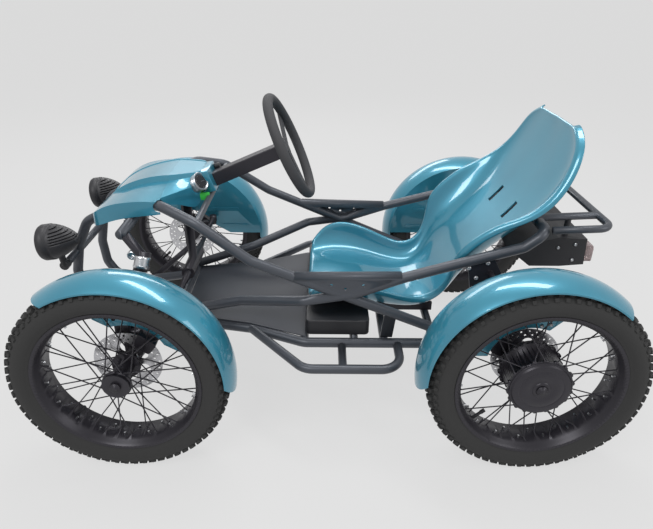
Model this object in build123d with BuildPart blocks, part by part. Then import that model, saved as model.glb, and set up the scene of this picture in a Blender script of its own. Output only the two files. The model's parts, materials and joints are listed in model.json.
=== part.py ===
from build123d import *
from math import cos, radians, sin
import os

# Electric quadricycle: a one-seat pedal-less buggy on four wide bicycle wheels.
# Millimetres. Origin on the ground at mid-wheelbase, +Z up, front towards -X,
# the driver's left towards -Y.

# Running gear
WHEELBASE = 1040.0
TRACK = 880.0
TYRE_RADIUS = 275.0
TYRE_WIDTH = 106.0
RIM_RADIUS = 209.5
RIM_WIDTH = 84.0
RIM_FLOOR_RADIUS = 192.0
SPOKE_COUNT = 36
SPOKE_RADIUS = 1.6
AXLE_RADIUS = 8.0
SHAFT_CLEARANCE = 0.3
SEAT_GAP = 0.3
FRONT_FLANGE_RADIUS = 37.0
FRONT_BARREL_RADIUS = 22.0
FRONT_CAP_RADIUS = 34.0
MOTOR_RADIUS = 76.0
DISC_RADIUS = 89.0
DISC_THICKNESS = 2.0
FRONT_DISC_OFFSET = 54.0
REAR_DISC_OFFSET = 84.0

# Steering
KINGPIN_INSET = 99.0
KINGPIN_RADIUS = 17.0
STEER_ARM_LENGTH = 95.0
STEER_ARM_Z = 345.0
TIE_ROD_Z = 362.0
WHEEL_RING_RADIUS = 144.0
WHEEL_GRIP_RADIUS = 14.0
COLUMN_SLOPE = 23.7
COLUMN_SIZE = 40.0
STEERING_CENTRE = (-111.0, 0.0, 740.0)

# Frame tube
TUBE_RADIUS = 14.0
RACK_RADIUS = 10.0
STEP_RADIUS = 12.5
ARM_RADIUS = 10.0
TUBE_BEND = 60.0
LOW_BEND = 30.0
PLATE = 5.0
BEAM_RADIUS = 16.0

# Bodywork
FENDER_WALL = 4.0
FENDER_CREST = 289.0
FENDER_INNER_DROP = 21.0
FENDER_OUTER_DROP = 19.0
FENDER_INSET = 66.0
FENDER_OVERHANG = 50.0
SEAT_WALL = 4.0
SLOT_Y = 66.0
HOOD_WALL = 3.0

FRONT_X = -WHEELBASE / 2
REAR_X = WHEELBASE / 2
WHEEL_Y = TRACK / 2
AXLE_Z = TYRE_RADIUS
KINGPIN_Y = WHEEL_Y - KINGPIN_INSET
FENDER_INNER_Y = WHEEL_Y - FENDER_INSET
FENDER_OUTER_Y = WHEEL_Y + FENDER_OVERHANG
FRONT_DISC_Y = WHEEL_Y - FRONT_DISC_OFFSET
REAR_DISC_Y = WHEEL_Y - REAR_DISC_OFFSET
HUB_OUTER = 46.0

os.makedirs("parts", exist_ok=True)


def finish(piece, name):
    """Label a finished piece and write it as its own STEP file."""
    piece.part.label = name
    export_step(piece.part, f"parts/{name}.step")


def tube(points, radius, bend=TUBE_BEND, mode=Mode.ADD):
    """Sweep a round section along straight runs joined by tangent arcs."""
    with BuildLine() as path:
        if len(points) == 2:
            Line(*points)
        else:
            FilletPolyline(*points, radius=bend)
    with BuildSketch(Plane(origin=path.line @ 0, z_dir=path.line % 0)) as section:
        Circle(radius)
    sweep(section.sketch, path=path.line, mode=mode)


def lug(start, end, radius, mode=Mode.ADD):
    """A round bar between two points."""
    tube((start, end), radius, mode=mode)


def on_left(points):
    """Mirror a table of right-hand points to the driver's left."""
    return [(x, -y, z) for x, y, z in points]


def from_axle(axle_x, points):
    """Shift a table whose x is measured from one axle."""
    return [(axle_x + x, y, z) for x, y, z in points]


FLOOR_Z = 246.0
CROSS_RADIUS = 12.0
CROSS_Z = FLOOR_Z + TUBE_RADIUS - CROSS_RADIUS
DECK_Z = FLOOR_Z + TUBE_RADIUS + SEAT_GAP
PAN_WALL = 3.0

# Routes of the frame tubes on the +Y side, as (x, y, z); the ends' x is measured from the axles
TOP_RAIL = [*from_axle(FRONT_X, [(15, 115, 615), (88, 203, 631), (174, 244, 606)]), (-205, 262, 506),
            *from_axle(REAR_X, [(-234, 254, 297)])]
MID_RAIL = [(-90, 262, 459), (196, 251, 456)]
LOW_RAIL = [*from_axle(FRONT_X, [(76, 150, 276), (267, 178, 331)]), (-68, 262, 384), (70, 258, 405), (200, 252, 452),
            *from_axle(REAR_X, [(-148, 246, 501), (-10, 250, 545), (43.5, 250, 589.3), (43.5, 190, 589.3)])]
FLOOR_RAIL = [*from_axle(FRONT_X, [(76, 152, FLOOR_Z), (295, 195, FLOOR_Z)]), (-66, 262, FLOOR_Z),
              (300, 262, FLOOR_Z), (REAR_X, 262, AXLE_Z)]
HOOP_LEG = from_axle(FRONT_X, [
    (50, 100, 612), (-80, 100, 590), (-170, 100, 545), (-208, 100, 470), (-227, 100, 385), (-222, 100, 310),
    (-195, 100, 262), (-80, 100, 240), (68, 100, 262)])
STEP_LOOP = [(-222, 200, 248), (-64, 374, 243), (196, 374, 243), (196, 272, 246)]
STEP_BRACE_X = 40.0
LAMP_BAR = (FRONT_X - 215.0, 450.0)
LAMP_Y = 188.0
GUSSET_Y = 265.0
GUSSET_HOLES = [(8, 438), (94, 438), (46, 427)]

# Side frames, welded from the top, middle and low rails with a gusset between them
with BuildPart() as side_frame_right:
    tube(TOP_RAIL, TUBE_RADIUS)
    tube(MID_RAIL, TUBE_RADIUS)
    tube(LOW_RAIL, TUBE_RADIUS, LOW_BEND)
    with BuildSketch(Plane.XZ.offset(-GUSSET_Y)) as gusset:
        with BuildLine():
            Polyline((-62, 455), (168, 452), (42, 398), close=True)
        make_face()
        with Locations(*GUSSET_HOLES):
            Circle(4, mode=Mode.SUBTRACT)
    extrude(gusset.sketch, amount=-PLATE)
    with BuildSketch(Plane.XZ.offset(-252)) as strut:
        with BuildLine():
            Polyline((158, 350), (190, 335), (182, 262), (148, 262), close=True)
        make_face()
    extrude(strut.sketch, amount=-PLATE)
with BuildPart() as side_frame_left:
    mirror(side_frame_right.part, about=Plane.XZ)

# Floor frame: two side rails and their cross tubes, as (x, half length)
CROSS_TUBES = [(-330, 172), (-226, 190), (-66, 256), (75, 256), (160, 256), (300, 256)]
with BuildPart() as floor_frame:
    for rail in (FLOOR_RAIL, on_left(FLOOR_RAIL)):
        tube(rail, TUBE_RADIUS)
    for x, half in CROSS_TUBES:
        lug((x, -half, CROSS_Z), (x, half, CROSS_Z), CROSS_RADIUS)
    lug((REAR_X, -300, AXLE_Z), (REAR_X, 300, AXLE_Z), BEAM_RADIUS + SEAT_GAP, mode=Mode.SUBTRACT)

# Front frame: two hoop legs and the bars across them, as (x, half length, z) and radius
TOWER_BAR = (FRONT_X - 15, 262, 580)
LOWER_BAR = (FRONT_X + 68, 162, 261)
DASH_BAR = (FRONT_X + 178, 238, 605)
FRONT_BARS = [((LAMP_BAR[0], LAMP_Y - 14, LAMP_BAR[1]), 11), (TOWER_BAR, TUBE_RADIUS),
              ((FRONT_X + 50, 146, 612), TUBE_RADIUS), ((FRONT_X - 120, 100, 247), TUBE_RADIUS),
              (LOWER_BAR, TUBE_RADIUS), (DASH_BAR, 9)]
with BuildPart() as front_frame:
    for leg in (HOOP_LEG, on_left(HOOP_LEG)):
        tube(leg, TUBE_RADIUS, 45)
    for (x, half, z), radius in FRONT_BARS:
        lug((x, -half, z), (x, half, z), radius)
    for rail, bend in ((TOP_RAIL, TUBE_BEND), (LOW_RAIL, LOW_BEND), (FLOOR_RAIL, TUBE_BEND)):
        tube(rail, TUBE_RADIUS + SEAT_GAP, bend, Mode.SUBTRACT)
        tube(on_left(rail), TUBE_RADIUS + SEAT_GAP, bend, Mode.SUBTRACT)


# Rear frame: cross tube behind the seat and the luggage rack
BACK_BAR = (REAR_X + 43.5, 190, 589.3)
RACK_RAIL = from_axle(REAR_X, [(56, 250, 594), (208, 250, 601), (208, 0, 601)])
with BuildPart() as rear_frame:
    x, half, z = BACK_BAR
    lug((x, -half, z), (x, half, z), TUBE_RADIUS)
    for rail in (RACK_RAIL, on_left(RACK_RAIL)):
        tube(rail, RACK_RADIUS, 35)
    for y in (-165, 165):
        lug((x, y, z + 4), (REAR_X + 208, y, 601), RACK_RADIUS)
    for rail in (LOW_RAIL, on_left(LOW_RAIL)):
        tube(rail, TUBE_RADIUS + SEAT_GAP, LOW_BEND, Mode.SUBTRACT)

# Side steps: a loop of tube outboard of each floor rail
with BuildPart() as step_right:
    tube(STEP_LOOP, STEP_RADIUS, 55)
    lug((STEP_BRACE_X, 262, 243), (STEP_BRACE_X, 374, 243), STEP_RADIUS - 1)
    tube(FLOOR_RAIL, TUBE_RADIUS + SEAT_GAP, mode=Mode.SUBTRACT)
with BuildPart() as step_left:
    mirror(step_right.part, about=Plane.XZ)

# Floor pan, a flat plate that narrows to the front, and the battery box behind it
PAN_EDGE = [(FRONT_X + 84, 150), (FRONT_X + 292, 193), (-64, 256)]
BATTERY_HEIGHT = 47.0
with BuildPart() as floor_pan:
    with BuildSketch(Plane.XY.offset(DECK_Z)) as pan_plan:
        with BuildLine():
            Polyline(*PAN_EDGE, *[(x, -y) for x, y in reversed(PAN_EDGE)], close=True)
        make_face()
    extrude(pan_plan.sketch, amount=PAN_WALL)
with BuildPart() as battery_box:
    with BuildSketch(Plane.XY.offset(DECK_Z)) as battery_plan:
        with Locations((28, 0)):
            RectangleRounded(180, 490, 14)
    extrude(battery_plan.sketch, amount=BATTERY_HEIGHT)

# Seat shell, as U-shaped sections from the front lip over the seat pan and up to the head
# spine x, spine z, rim x, rim z, floor half width, rim half width
SEAT_SECTIONS = [
    (-57, 322, -50, 350, 118, 166), (-10, 326, -16, 392, 138, 194), (40, 325, 35, 411, 145, 203),
    (105, 316, 97, 404, 145, 200), (175, 297, 170, 374, 140, 188), (245, 286, 252, 340, 132, 170),
    (300, 299, 305, 360, 130, 176), (340, 338, 332, 404, 132, 190), (372, 398, 340, 458, 136, 203),
    (412, 452, 347, 508, 142, 211), (455, 498, 385, 552, 150, 216), (508, 551, 440, 597, 158, 224),
    (548, 600, 508, 624, 160, 234), (583, 660, 566, 666, 164, 224), (612, 722, 603, 722, 152, 206),
    (630, 776, 622, 775, 128, 188), (637, 808, 632, 806, 104, 160), (640, 830, 638, 829, 70, 108),
]
# Cross-section corners: share of the way from floor edge to rim edge, share of the rim's height
WALL_CORNERS = [(0.0, 0.03), (0.45, 0.16), (0.78, 0.48), (0.93, 0.8)]
# The rolled rim, outwards and up from the rim's edge
ROLLED_RIM = [(0, 0), (6, -1), (11, -5), (13, -15)]


def sheet_outline(points, wall):
    """Closed outline of a bent sheet: the points, then their copies one wall to the right of their run."""
    path = [Vector(*point) for point in points]
    ends = zip(path[:1] + path[:-1], path[1:] + path[-1:])
    outside = []
    for point, (before, after) in zip(path, ends):
        run = (after - before).normalized()
        outside.append(point + Vector(run.Y, -run.X) * wall)
    return path + outside[::-1]


def seat_section(spine_x, spine_z, rim_x, rim_z, floor, width):
    """Sketch of the shell's section, in the plane through its spine and rim."""
    rise = Vector(rim_x - spine_x, 0, rim_z - spine_z)
    height = rise.length
    right = [(floor + share * (width - floor), part * height) for share, part in WALL_CORNERS]
    right += [(width + out, height + up) for out, up in ROLLED_RIM]
    left = [(-y, h) for y, h in reversed(right)]
    plane = Plane(origin=(spine_x, 0, spine_z), x_dir=(0, 1, 0), z_dir=Vector(0, 1, 0).cross(rise))
    with BuildSketch(plane) as section:
        with BuildLine():
            Polyline(*sheet_outline(left + right, SEAT_WALL), close=True)
        make_face()
    return section.sketch


with BuildPart() as seat:
    loft([seat_section(*row) for row in SEAT_SECTIONS], ruled=True)
    for y in (-SLOT_Y, SLOT_Y):
        lug((505, y, 590), (555, y, 545), 4, mode=Mode.SUBTRACT)

# Steering axis
COLUMN_DIR = (cos(radians(COLUMN_SLOPE)), 0, sin(radians(COLUMN_SLOPE)))


def column_point(distance):
    """Point on the steering axis, measured down from the wheel's centre."""
    return tuple(c - distance * d for c, d in zip(STEERING_CENTRE, COLUMN_DIR))


COLUMN_TOP = 34.0
COLUMN_BOTTOM = 365.0
# Seat bars, flat plates on edge that stand on the floor's cross tubes
def seat_underside(spine_x, spine_z, rim_x, rim_z, floor, width):
    """Point just under the shell's floor, on the centre plane."""
    rise = Vector(rim_x - spine_x, rim_z - spine_z)
    drop = WALL_CORNERS[0][1] * rise.length - SEAT_WALL - SEAT_GAP
    point = Vector(spine_x, spine_z) + rise.normalized() * drop
    return point.X, point.Y


BAR_FOOT_Z = CROSS_Z + CROSS_RADIUS + SEAT_GAP
with BuildPart() as seat_mount:
    for y in (-110, 110):
        with BuildSketch(Plane.XZ.offset(-y)) as bar:
            with BuildLine():
                Polyline((152, BAR_FOOT_Z), (318, BAR_FOOT_Z), (318, 288),
                         *[seat_underside(*row) for row in reversed(SEAT_SECTIONS[4:7])], (152, 290), close=True)
            make_face()
        extrude(bar.sketch, amount=4, both=True)

# Hood, as bent-sheet sections: x from the front axle, half width, skirt low, skirt top, ridge half, deck
HOOD_SECTIONS = [(-128, 138, 566, 590, 46, 588), (-116, 170, 564, 600, 54, 600), (-98, 178, 570, 614, 62, 616),
                 (-74, 182, 580, 627, 69, 634), (-30, 186, 593, 637, 71, 656), (18, 187, 600, 641, 73, 669),
                 (71, 188, 606, 641, 78, 677)]
NECK_SECTIONS = [(71, 172, 630, 643, 78, 677), (140, 80, 582, 646, 58, 679), (155, 62, 600, 655, 44, 679)]
RIDGE_FOOT = (16.0, -9.0)
SKIRT_CORNER = (7.0, -6.0)
DASH = [(148, 677), (175, 681), (197, 620), (166, 612)]
DASH_HALF = 50.0
GAUGE_DIR = Vector(0.79, -0.37, 0.49).normalized()
GAUGE_CENTRE = Vector(FRONT_X + 150, -62, 650)
GAUGE_RADIUS = 26.0


def hood_plane(x):
    """Cross-section plane of the hood at a distance behind the front axle."""
    return Plane(origin=(FRONT_X + x, 0, 0), x_dir=(0, 1, 0), z_dir=(1, 0, 0))


def hood_edge(half, low, top, ridge, deck):
    """Right half of the hood's section, from the ridge to the skirt's lower edge."""
    foot, fall = RIDGE_FOOT
    corner, drop = SKIRT_CORNER
    shoulder = max(min(deck - 2, top), deck + fall)
    return [(ridge, deck), (min(ridge + foot, half - corner - 2), shoulder), (half - corner, top),
            (half, top + drop), (half + 2, low)]


def hood_section(x, *sizes):
    """Sketch of the bent sheet at one station."""
    right = hood_edge(*sizes)
    left = [(-y, z) for y, z in reversed(right)]
    with BuildSketch(hood_plane(x)) as section:
        with BuildLine():
            Polyline(*sheet_outline(left + right, HOOD_WALL), close=True)
        make_face()
    return section.sketch


with BuildPart() as hood:
    loft([hood_section(*row) for row in HOOD_SECTIONS], ruled=True)
    loft([hood_section(*row) for row in NECK_SECTIONS], ruled=True)
    x, *sizes = HOOD_SECTIONS[0]
    with BuildSketch(hood_plane(x)) as nose:
        with BuildLine():
            Polyline(*[(-y, z) for y, z in reversed(hood_edge(*sizes))], *hood_edge(*sizes), close=True)
        make_face()
    extrude(nose.sketch, amount=HOOD_WALL)
    with BuildSketch(Plane.XZ) as dash:
        with BuildLine():
            Polyline(*[(FRONT_X + x, z) for x, z in DASH], close=True)
        make_face()
    extrude(dash.sketch, amount=DASH_HALF, both=True)
    for leg in (HOOP_LEG, on_left(HOOP_LEG)):
        tube(leg, TUBE_RADIUS + 3, 45, mode=Mode.SUBTRACT)
    for rail in (TOP_RAIL, on_left(TOP_RAIL)):
        tube(rail, TUBE_RADIUS + 2, mode=Mode.SUBTRACT)
    for y in (-55, 55):
        lug((TOWER_BAR[0], y, TOWER_BAR[2]), (TOWER_BAR[0], y, 662), 7)
    lug((TOWER_BAR[0], -100, TOWER_BAR[2]), (TOWER_BAR[0], 100, TOWER_BAR[2]), TUBE_RADIUS + SEAT_GAP,
        mode=Mode.SUBTRACT)
    lug(GAUGE_CENTRE - GAUGE_DIR * 40, GAUGE_CENTRE + GAUGE_DIR * 40, GAUGE_RADIUS + SEAT_GAP, mode=Mode.SUBTRACT)
    lug((DASH_BAR[0], -100, DASH_BAR[2]), (DASH_BAR[0], 100, DASH_BAR[2]), 9 + SEAT_GAP, mode=Mode.SUBTRACT)
    with BuildSketch(Plane(origin=column_point(COLUMN_BOTTOM), x_dir=(0, 1, 0), z_dir=COLUMN_DIR)) as notch:
        Rectangle(COLUMN_SIZE + 2 * SEAT_GAP, COLUMN_SIZE + 2 * SEAT_GAP)
    extrude(notch.sketch, amount=COLUMN_BOTTOM - 100, mode=Mode.SUBTRACT)

# Instruments on the hood's rear edge
KNOB_DIR = Vector(63, 0, 22).normalized()
KNOB_FOOT = Vector(FRONT_X + 180.5, 34, 665.75) + KNOB_DIR * SEAT_GAP
with BuildPart() as gauge:
    lug(GAUGE_CENTRE - GAUGE_DIR * 16, GAUGE_CENTRE + GAUGE_DIR * 12, GAUGE_RADIUS)
with BuildPart() as control_knob:
    lug(KNOB_FOOT, KNOB_FOOT + KNOB_DIR * 16, 9)

# Steering column: a square profile from the tower tube to the wheel
with BuildPart() as steering_column:
    with BuildSketch(Plane(origin=column_point(COLUMN_BOTTOM), x_dir=(0, 1, 0), z_dir=COLUMN_DIR)) as profile:
        RectangleRounded(COLUMN_SIZE, COLUMN_SIZE, 3)
    extrude(profile.sketch, amount=COLUMN_BOTTOM - COLUMN_TOP)
    x, half, z = DASH_BAR
    lug((x, -half, z), (x, half, z), 9 + SEAT_GAP, mode=Mode.SUBTRACT)
with BuildPart() as steering_wheel:
    with BuildSketch(Plane(origin=STEERING_CENTRE, x_dir=COLUMN_DIR, z_dir=(0, -1, 0))) as grip:
        with Locations((0, WHEEL_RING_RADIUS)):
            Circle(WHEEL_GRIP_RADIUS)
    revolve(grip.sketch, axis=Axis(STEERING_CENTRE, COLUMN_DIR))
    with BuildSketch(Plane(origin=column_point(COLUMN_TOP - SEAT_GAP), x_dir=(0, 1, 0), z_dir=COLUMN_DIR)) as boss:
        Circle(30)
    extrude(boss.sketch, amount=26)
    with BuildSketch(Plane(origin=column_point(12), x_dir=(0, 1, 0), z_dir=COLUMN_DIR)) as spokes:
        with PolarLocations(0, 3, start_angle=-90):
            with Locations((WHEEL_RING_RADIUS / 2, 0)):
                Rectangle(WHEEL_RING_RADIUS, 30)
    extrude(spokes.sketch, amount=5)

# Steering gear under the hood: upright jacket and the rack's housing
TIE_ROD_X = FRONT_X + STEER_ARM_LENGTH
with BuildPart() as steering_gear:
    lug((TIE_ROD_X, -75, TIE_ROD_Z), (TIE_ROD_X, 75, TIE_ROD_Z), 20)
    lug((TIE_ROD_X, 0, TIE_ROD_Z), (TIE_ROD_X, 0, 572), 13)
    lug((TIE_ROD_X, -90, TIE_ROD_Z), (TIE_ROD_X, 90, TIE_ROD_Z), 10 + SHAFT_CLEARANCE, mode=Mode.SUBTRACT)
with BuildPart() as tie_rod:
    lug((TIE_ROD_X, -KINGPIN_Y, TIE_ROD_Z), (TIE_ROD_X, KINGPIN_Y, TIE_ROD_Z), 8)
    lug((TIE_ROD_X, -120, TIE_ROD_Z), (TIE_ROD_X, 120, TIE_ROD_Z), 10)
    for y in (-KINGPIN_Y, KINGPIN_Y):
        lug((TIE_ROD_X, y, TIE_ROD_Z - 11), (TIE_ROD_X, y, TIE_ROD_Z + 11), 13)

# Front suspension: a lower arm and an inclined strut on each side
STRUT_FOOT = (FRONT_X, KINGPIN_Y, 352.3)
STRUT_HEAD = (FRONT_X + 31, 252.0, 512.0)
with BuildPart() as front_arm_right:
    for x, y, z in ((FRONT_X - 80, 100, 240), (LOWER_BAR[0], 112, LOWER_BAR[2])):
        lug((x, y, z), (FRONT_X, KINGPIN_Y, 246), ARM_RADIUS)
    lug((FRONT_X, KINGPIN_Y, 234), (FRONT_X, KINGPIN_Y, 258), 16)
    tube(HOOP_LEG, TUBE_RADIUS + SEAT_GAP, 45, mode=Mode.SUBTRACT)
    x, half, z = LOWER_BAR
    lug((x, -half, z), (x, half, z), TUBE_RADIUS + SEAT_GAP, mode=Mode.SUBTRACT)
    tube(FLOOR_RAIL, TUBE_RADIUS + SEAT_GAP, mode=Mode.SUBTRACT)
with BuildPart() as front_arm_left:
    mirror(front_arm_right.part, about=Plane.XZ)
with BuildPart() as strut_right:
    lug(STRUT_FOOT, STRUT_HEAD, 12)
    lug((FRONT_X + 24, 271, 478), (FRONT_X + 33, 246, 523), 19)
    lug(STRUT_HEAD, (FRONT_X - 8, 250, 574), 13)
    x, half, z = TOWER_BAR
    lug((x, -half, z), (x, half, z), TUBE_RADIUS + SEAT_GAP, mode=Mode.SUBTRACT)
    with BuildSketch(Plane.XY.offset(STRUT_FOOT[2] - 30)) as trim:
        with Locations((FRONT_X, KINGPIN_Y)):
            Circle(60)
    extrude(trim.sketch, amount=30, mode=Mode.SUBTRACT)
with BuildPart() as strut_left:
    mirror(strut_right.part, about=Plane.XZ)

# Knuckle: upright, stub axle, steering arm, the caliper's bracket and the fender's pad
CALIPER_Y = FENDER_INNER_Y - 8
BRACKET = [(-12, 352), (-12, 262), (14, 262), (58, 316), (58, 338), (38, 352)]
with BuildPart() as knuckle_right:
    lug((FRONT_X, KINGPIN_Y, 258.3), (FRONT_X, KINGPIN_Y, 352), KINGPIN_RADIUS)
    lug((FRONT_X, KINGPIN_Y, AXLE_Z), (FRONT_X, FENDER_INNER_Y - 2, AXLE_Z), 15)
    lug((FRONT_X, KINGPIN_Y, AXLE_Z), (FRONT_X, WHEEL_Y + HUB_OUTER + 8, AXLE_Z), AXLE_RADIUS)
    lug((FRONT_X, WHEEL_Y + HUB_OUTER + SEAT_GAP, AXLE_Z), (FRONT_X, WHEEL_Y + HUB_OUTER + 7, AXLE_Z), 13)
    with BuildSketch(Plane.XY.offset(STEER_ARM_Z - 5)) as arm:
        with Locations(((FRONT_X + TIE_ROD_X) / 2, KINGPIN_Y)):
            SlotCenterToCenter(STEER_ARM_LENGTH, 22)
    extrude(arm.sketch, amount=TIE_ROD_Z - 11.5 - (STEER_ARM_Z - 5))
    with BuildSketch(Plane.XZ.offset(-KINGPIN_Y)) as bracket:
        with BuildLine():
            Polyline(*[(FRONT_X + x, z) for x, z in BRACKET], close=True)
        make_face()
    extrude(bracket.sketch, amount=-(CALIPER_Y - KINGPIN_Y))
    with BuildSketch(Plane.XZ.offset(-(FENDER_INNER_Y - 16))) as pad:
        with Locations((FRONT_X - 8, 368)):
            RectangleRounded(36, 78, 6)
    extrude(pad.sketch, amount=-(16 - SEAT_GAP))
with BuildPart() as knuckle_left:
    mirror(knuckle_right.part, about=Plane.XZ)

# Brake calipers straddle the discs
CALIPER_GAP = 8.0


def caliper(x, disc_y, inner_y, angle, reach):
    """Block over the disc's rim at an angle, slotted for the disc."""
    plane = Plane(origin=(x, inner_y, AXLE_Z), x_dir=(cos(radians(angle)), 0, sin(radians(angle))),
                  z_dir=(0, 1, 0))
    with BuildSketch(plane) as block:
        with Locations((reach, 0)):
            RectangleRounded(38, 54, 8)
    extrude(block.sketch, amount=disc_y + 13 - inner_y)
    with BuildSketch(Plane(origin=(x, disc_y - CALIPER_GAP / 2, AXLE_Z), z_dir=(0, 1, 0))) as slot:
        Circle(DISC_RADIUS + 5)
    extrude(slot.sketch, amount=CALIPER_GAP, mode=Mode.SUBTRACT)


with BuildPart() as front_caliper_right:
    caliper(FRONT_X, FRONT_DISC_Y, CALIPER_Y + SEAT_GAP, 50, 80)
with BuildPart() as front_caliper_left:
    mirror(front_caliper_right.part, about=Plane.XZ)
with BuildPart() as rear_calipers:
    caliper(REAR_X, REAR_DISC_Y, REAR_DISC_Y - 24, 150, 80)
    mirror(rear_calipers.part, about=Plane.XZ)

# Rear axle beam with its stub axles, and the plates that carry it
with BuildPart() as rear_axle:
    for half, radius in ((REAR_DISC_Y - 11, BEAM_RADIUS), (WHEEL_Y + HUB_OUTER + 8, AXLE_RADIUS)):
        lug((REAR_X, -half, AXLE_Z), (REAR_X, half, AXLE_Z), radius)
    for side in (-1, 1):
        nut = side * (WHEEL_Y + HUB_OUTER + SEAT_GAP)
        lug((REAR_X, nut, AXLE_Z), (REAR_X, nut + side * 6, AXLE_Z), 13)
        with BuildSketch(Plane(origin=(REAR_X, side * (REAR_DISC_Y - 38), AXLE_Z), x_dir=(cos(radians(150)), 0, 0.5),
                               z_dir=(0, side, 0))) as carrier:
            with Locations((40, 0)):
                RectangleRounded(130, 46, 20)
        extrude(carrier.sketch, amount=14 - SEAT_GAP)
REAR_PLATE = [(-148, 486), (-80, 508), (-20, 400), (25, 300), (25, 250), (-25, 250), (-50, 330), (-135, 410)]
FENDER_STAYS = [(-88, 470), (-40, 415)]
with BuildPart() as rear_plates:
    with BuildSketch(Plane.XZ.offset(-244)) as plate:
        with BuildLine():
            Polyline(*[(REAR_X + x, z) for x, z in REAR_PLATE], close=True)
        make_face()
    extrude(plate.sketch, amount=-6)
    for x, z in FENDER_STAYS:
        lug((REAR_X + x, 245, z), (REAR_X + x, FENDER_INNER_Y - SEAT_GAP, z), 7)
    lug((REAR_X, 200, AXLE_Z), (REAR_X, 300, AXLE_Z), BEAM_RADIUS + SEAT_GAP, mode=Mode.SUBTRACT)
    tube(LOW_RAIL, TUBE_RADIUS + SEAT_GAP, LOW_BEND, mode=Mode.SUBTRACT)
    tube(FLOOR_RAIL, TUBE_RADIUS + SEAT_GAP, mode=Mode.SUBTRACT)
    mirror(rear_plates.part, about=Plane.XZ)

# Rear tray under the rack, and the tail lamps on it
TRAY = [(-26, 508), (103, 545), (182, 541), (186, 464), (120, 458), (37, 458)]
TRAY_HALF = 190.0
TRAY_REAR = 186.0
with BuildPart() as rear_tray:
    with BuildSketch(Plane.XZ) as tray_side:
        with BuildLine():
            Polyline(*[(REAR_X + x, z) for x, z in TRAY], close=True)
        make_face()
    extrude(tray_side.sketch, amount=TRAY_HALF, both=True)
    for y in (-165, 165):
        lug((REAR_X + 130, y, 540), (REAR_X + 130, y, 592), 8)
        x, half, z = BACK_BAR
        lug((x, y, z + 4), (REAR_X + 208, y, 601), RACK_RADIUS + SEAT_GAP, mode=Mode.SUBTRACT)
with BuildPart() as tail_lamps:
    for y in (-152, 152):
        lamp_plane = Plane(origin=(REAR_X + TRAY_REAR + SEAT_GAP, y, 492), x_dir=(0, 1, 0), z_dir=(1, 0, 0))
        with BuildSketch(lamp_plane) as lens:
            RectangleRounded(66, 48, 8)
        extrude(lens.sketch, amount=22)

# Headlamps: an ogive body with cooling fins on its rear upper half, a bezel and a lens
LAMP_SLOPE = 8.0
LAMP_DIR = Vector(cos(radians(LAMP_SLOPE)), 0, sin(radians(LAMP_SLOPE)))
LAMP_FRONT = (FRONT_X - 258, 520)
LAMP_RADIUS = 50.0
BEZEL_DEPTH = 26.0
LENS_RADIUS = 44.0
FIN_COUNT = 6
FIN_PITCH = 7.2


def lamp_plane(side):
    """Upright plane through a lamp's axis, with its x running back from the front rim."""
    x, z = LAMP_FRONT
    return Plane(origin=(x, side * LAMP_Y, z), x_dir=LAMP_DIR, z_dir=(0, -1, 0))


def lamp_turned(profile):
    """Revolve a sketch about the right lamp's axis."""
    plane = lamp_plane(1)
    revolve(profile.sketch, axis=Axis(plane.origin, plane.x_dir))


def ogive(inset):
    """Half profile of the lamp's body, shrunk by an inset."""
    r, back = LAMP_RADIUS - 2 - inset, 94 - inset
    with BuildSketch(lamp_plane(1)) as profile:
        with BuildLine():
            Line((BEZEL_DEPTH - 4, 0), (BEZEL_DEPTH - 4, r))
            Line((BEZEL_DEPTH - 4, r), (BEZEL_DEPTH + 8, r))
            ThreePointArc((BEZEL_DEPTH + 8, r), (back - 32, r * 0.78), (back, r * 0.3))
            Line((back, r * 0.3), (back, 0))
            Line((back, 0), (BEZEL_DEPTH - 4, 0))
        make_face()
    return profile


with BuildPart() as headlamps:
    lamp_turned(ogive(0))
    with BuildSketch(lamp_plane(1)) as slots:
        for step in range(FIN_COUNT):
            with Locations((70, 6 + FIN_PITCH * step)):
                Rectangle(68, 3)
    extrude(slots.sketch, amount=60, both=True, mode=Mode.SUBTRACT)
    lamp_turned(ogive(7))
    with BuildSketch(lamp_plane(1)) as bezel:
        with BuildLine():
            Polyline((0, LENS_RADIUS + SEAT_GAP), (0, LAMP_RADIUS - 2), (4, LAMP_RADIUS), (BEZEL_DEPTH, LAMP_RADIUS),
                     (BEZEL_DEPTH, 0), (14, 0), (14, LENS_RADIUS + SEAT_GAP), close=True)
        make_face()
    lamp_turned(bezel)
    x, z = LAMP_BAR
    lug((x, LAMP_Y - 13.7, z), (x, LAMP_Y + 6, z), 13)
    lug((x, LAMP_Y, z), (x - 6, LAMP_Y, 492), 9)
    mirror(headlamps.part, about=Plane.XZ)
with BuildPart() as headlamp_lenses:
    with BuildSketch(lamp_plane(1)) as lens:
        with BuildLine():
            Line((14 - SEAT_GAP, 0), (14 - SEAT_GAP, LENS_RADIUS))
            Polyline((14 - SEAT_GAP, LENS_RADIUS), (6, LENS_RADIUS), (3, 30), (1.5, 15), (1, 0), (14 - SEAT_GAP, 0))
        make_face()
    lamp_turned(lens)
    mirror(headlamp_lenses.part, about=Plane.XZ)


TIP_LENGTH = 36.0


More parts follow.
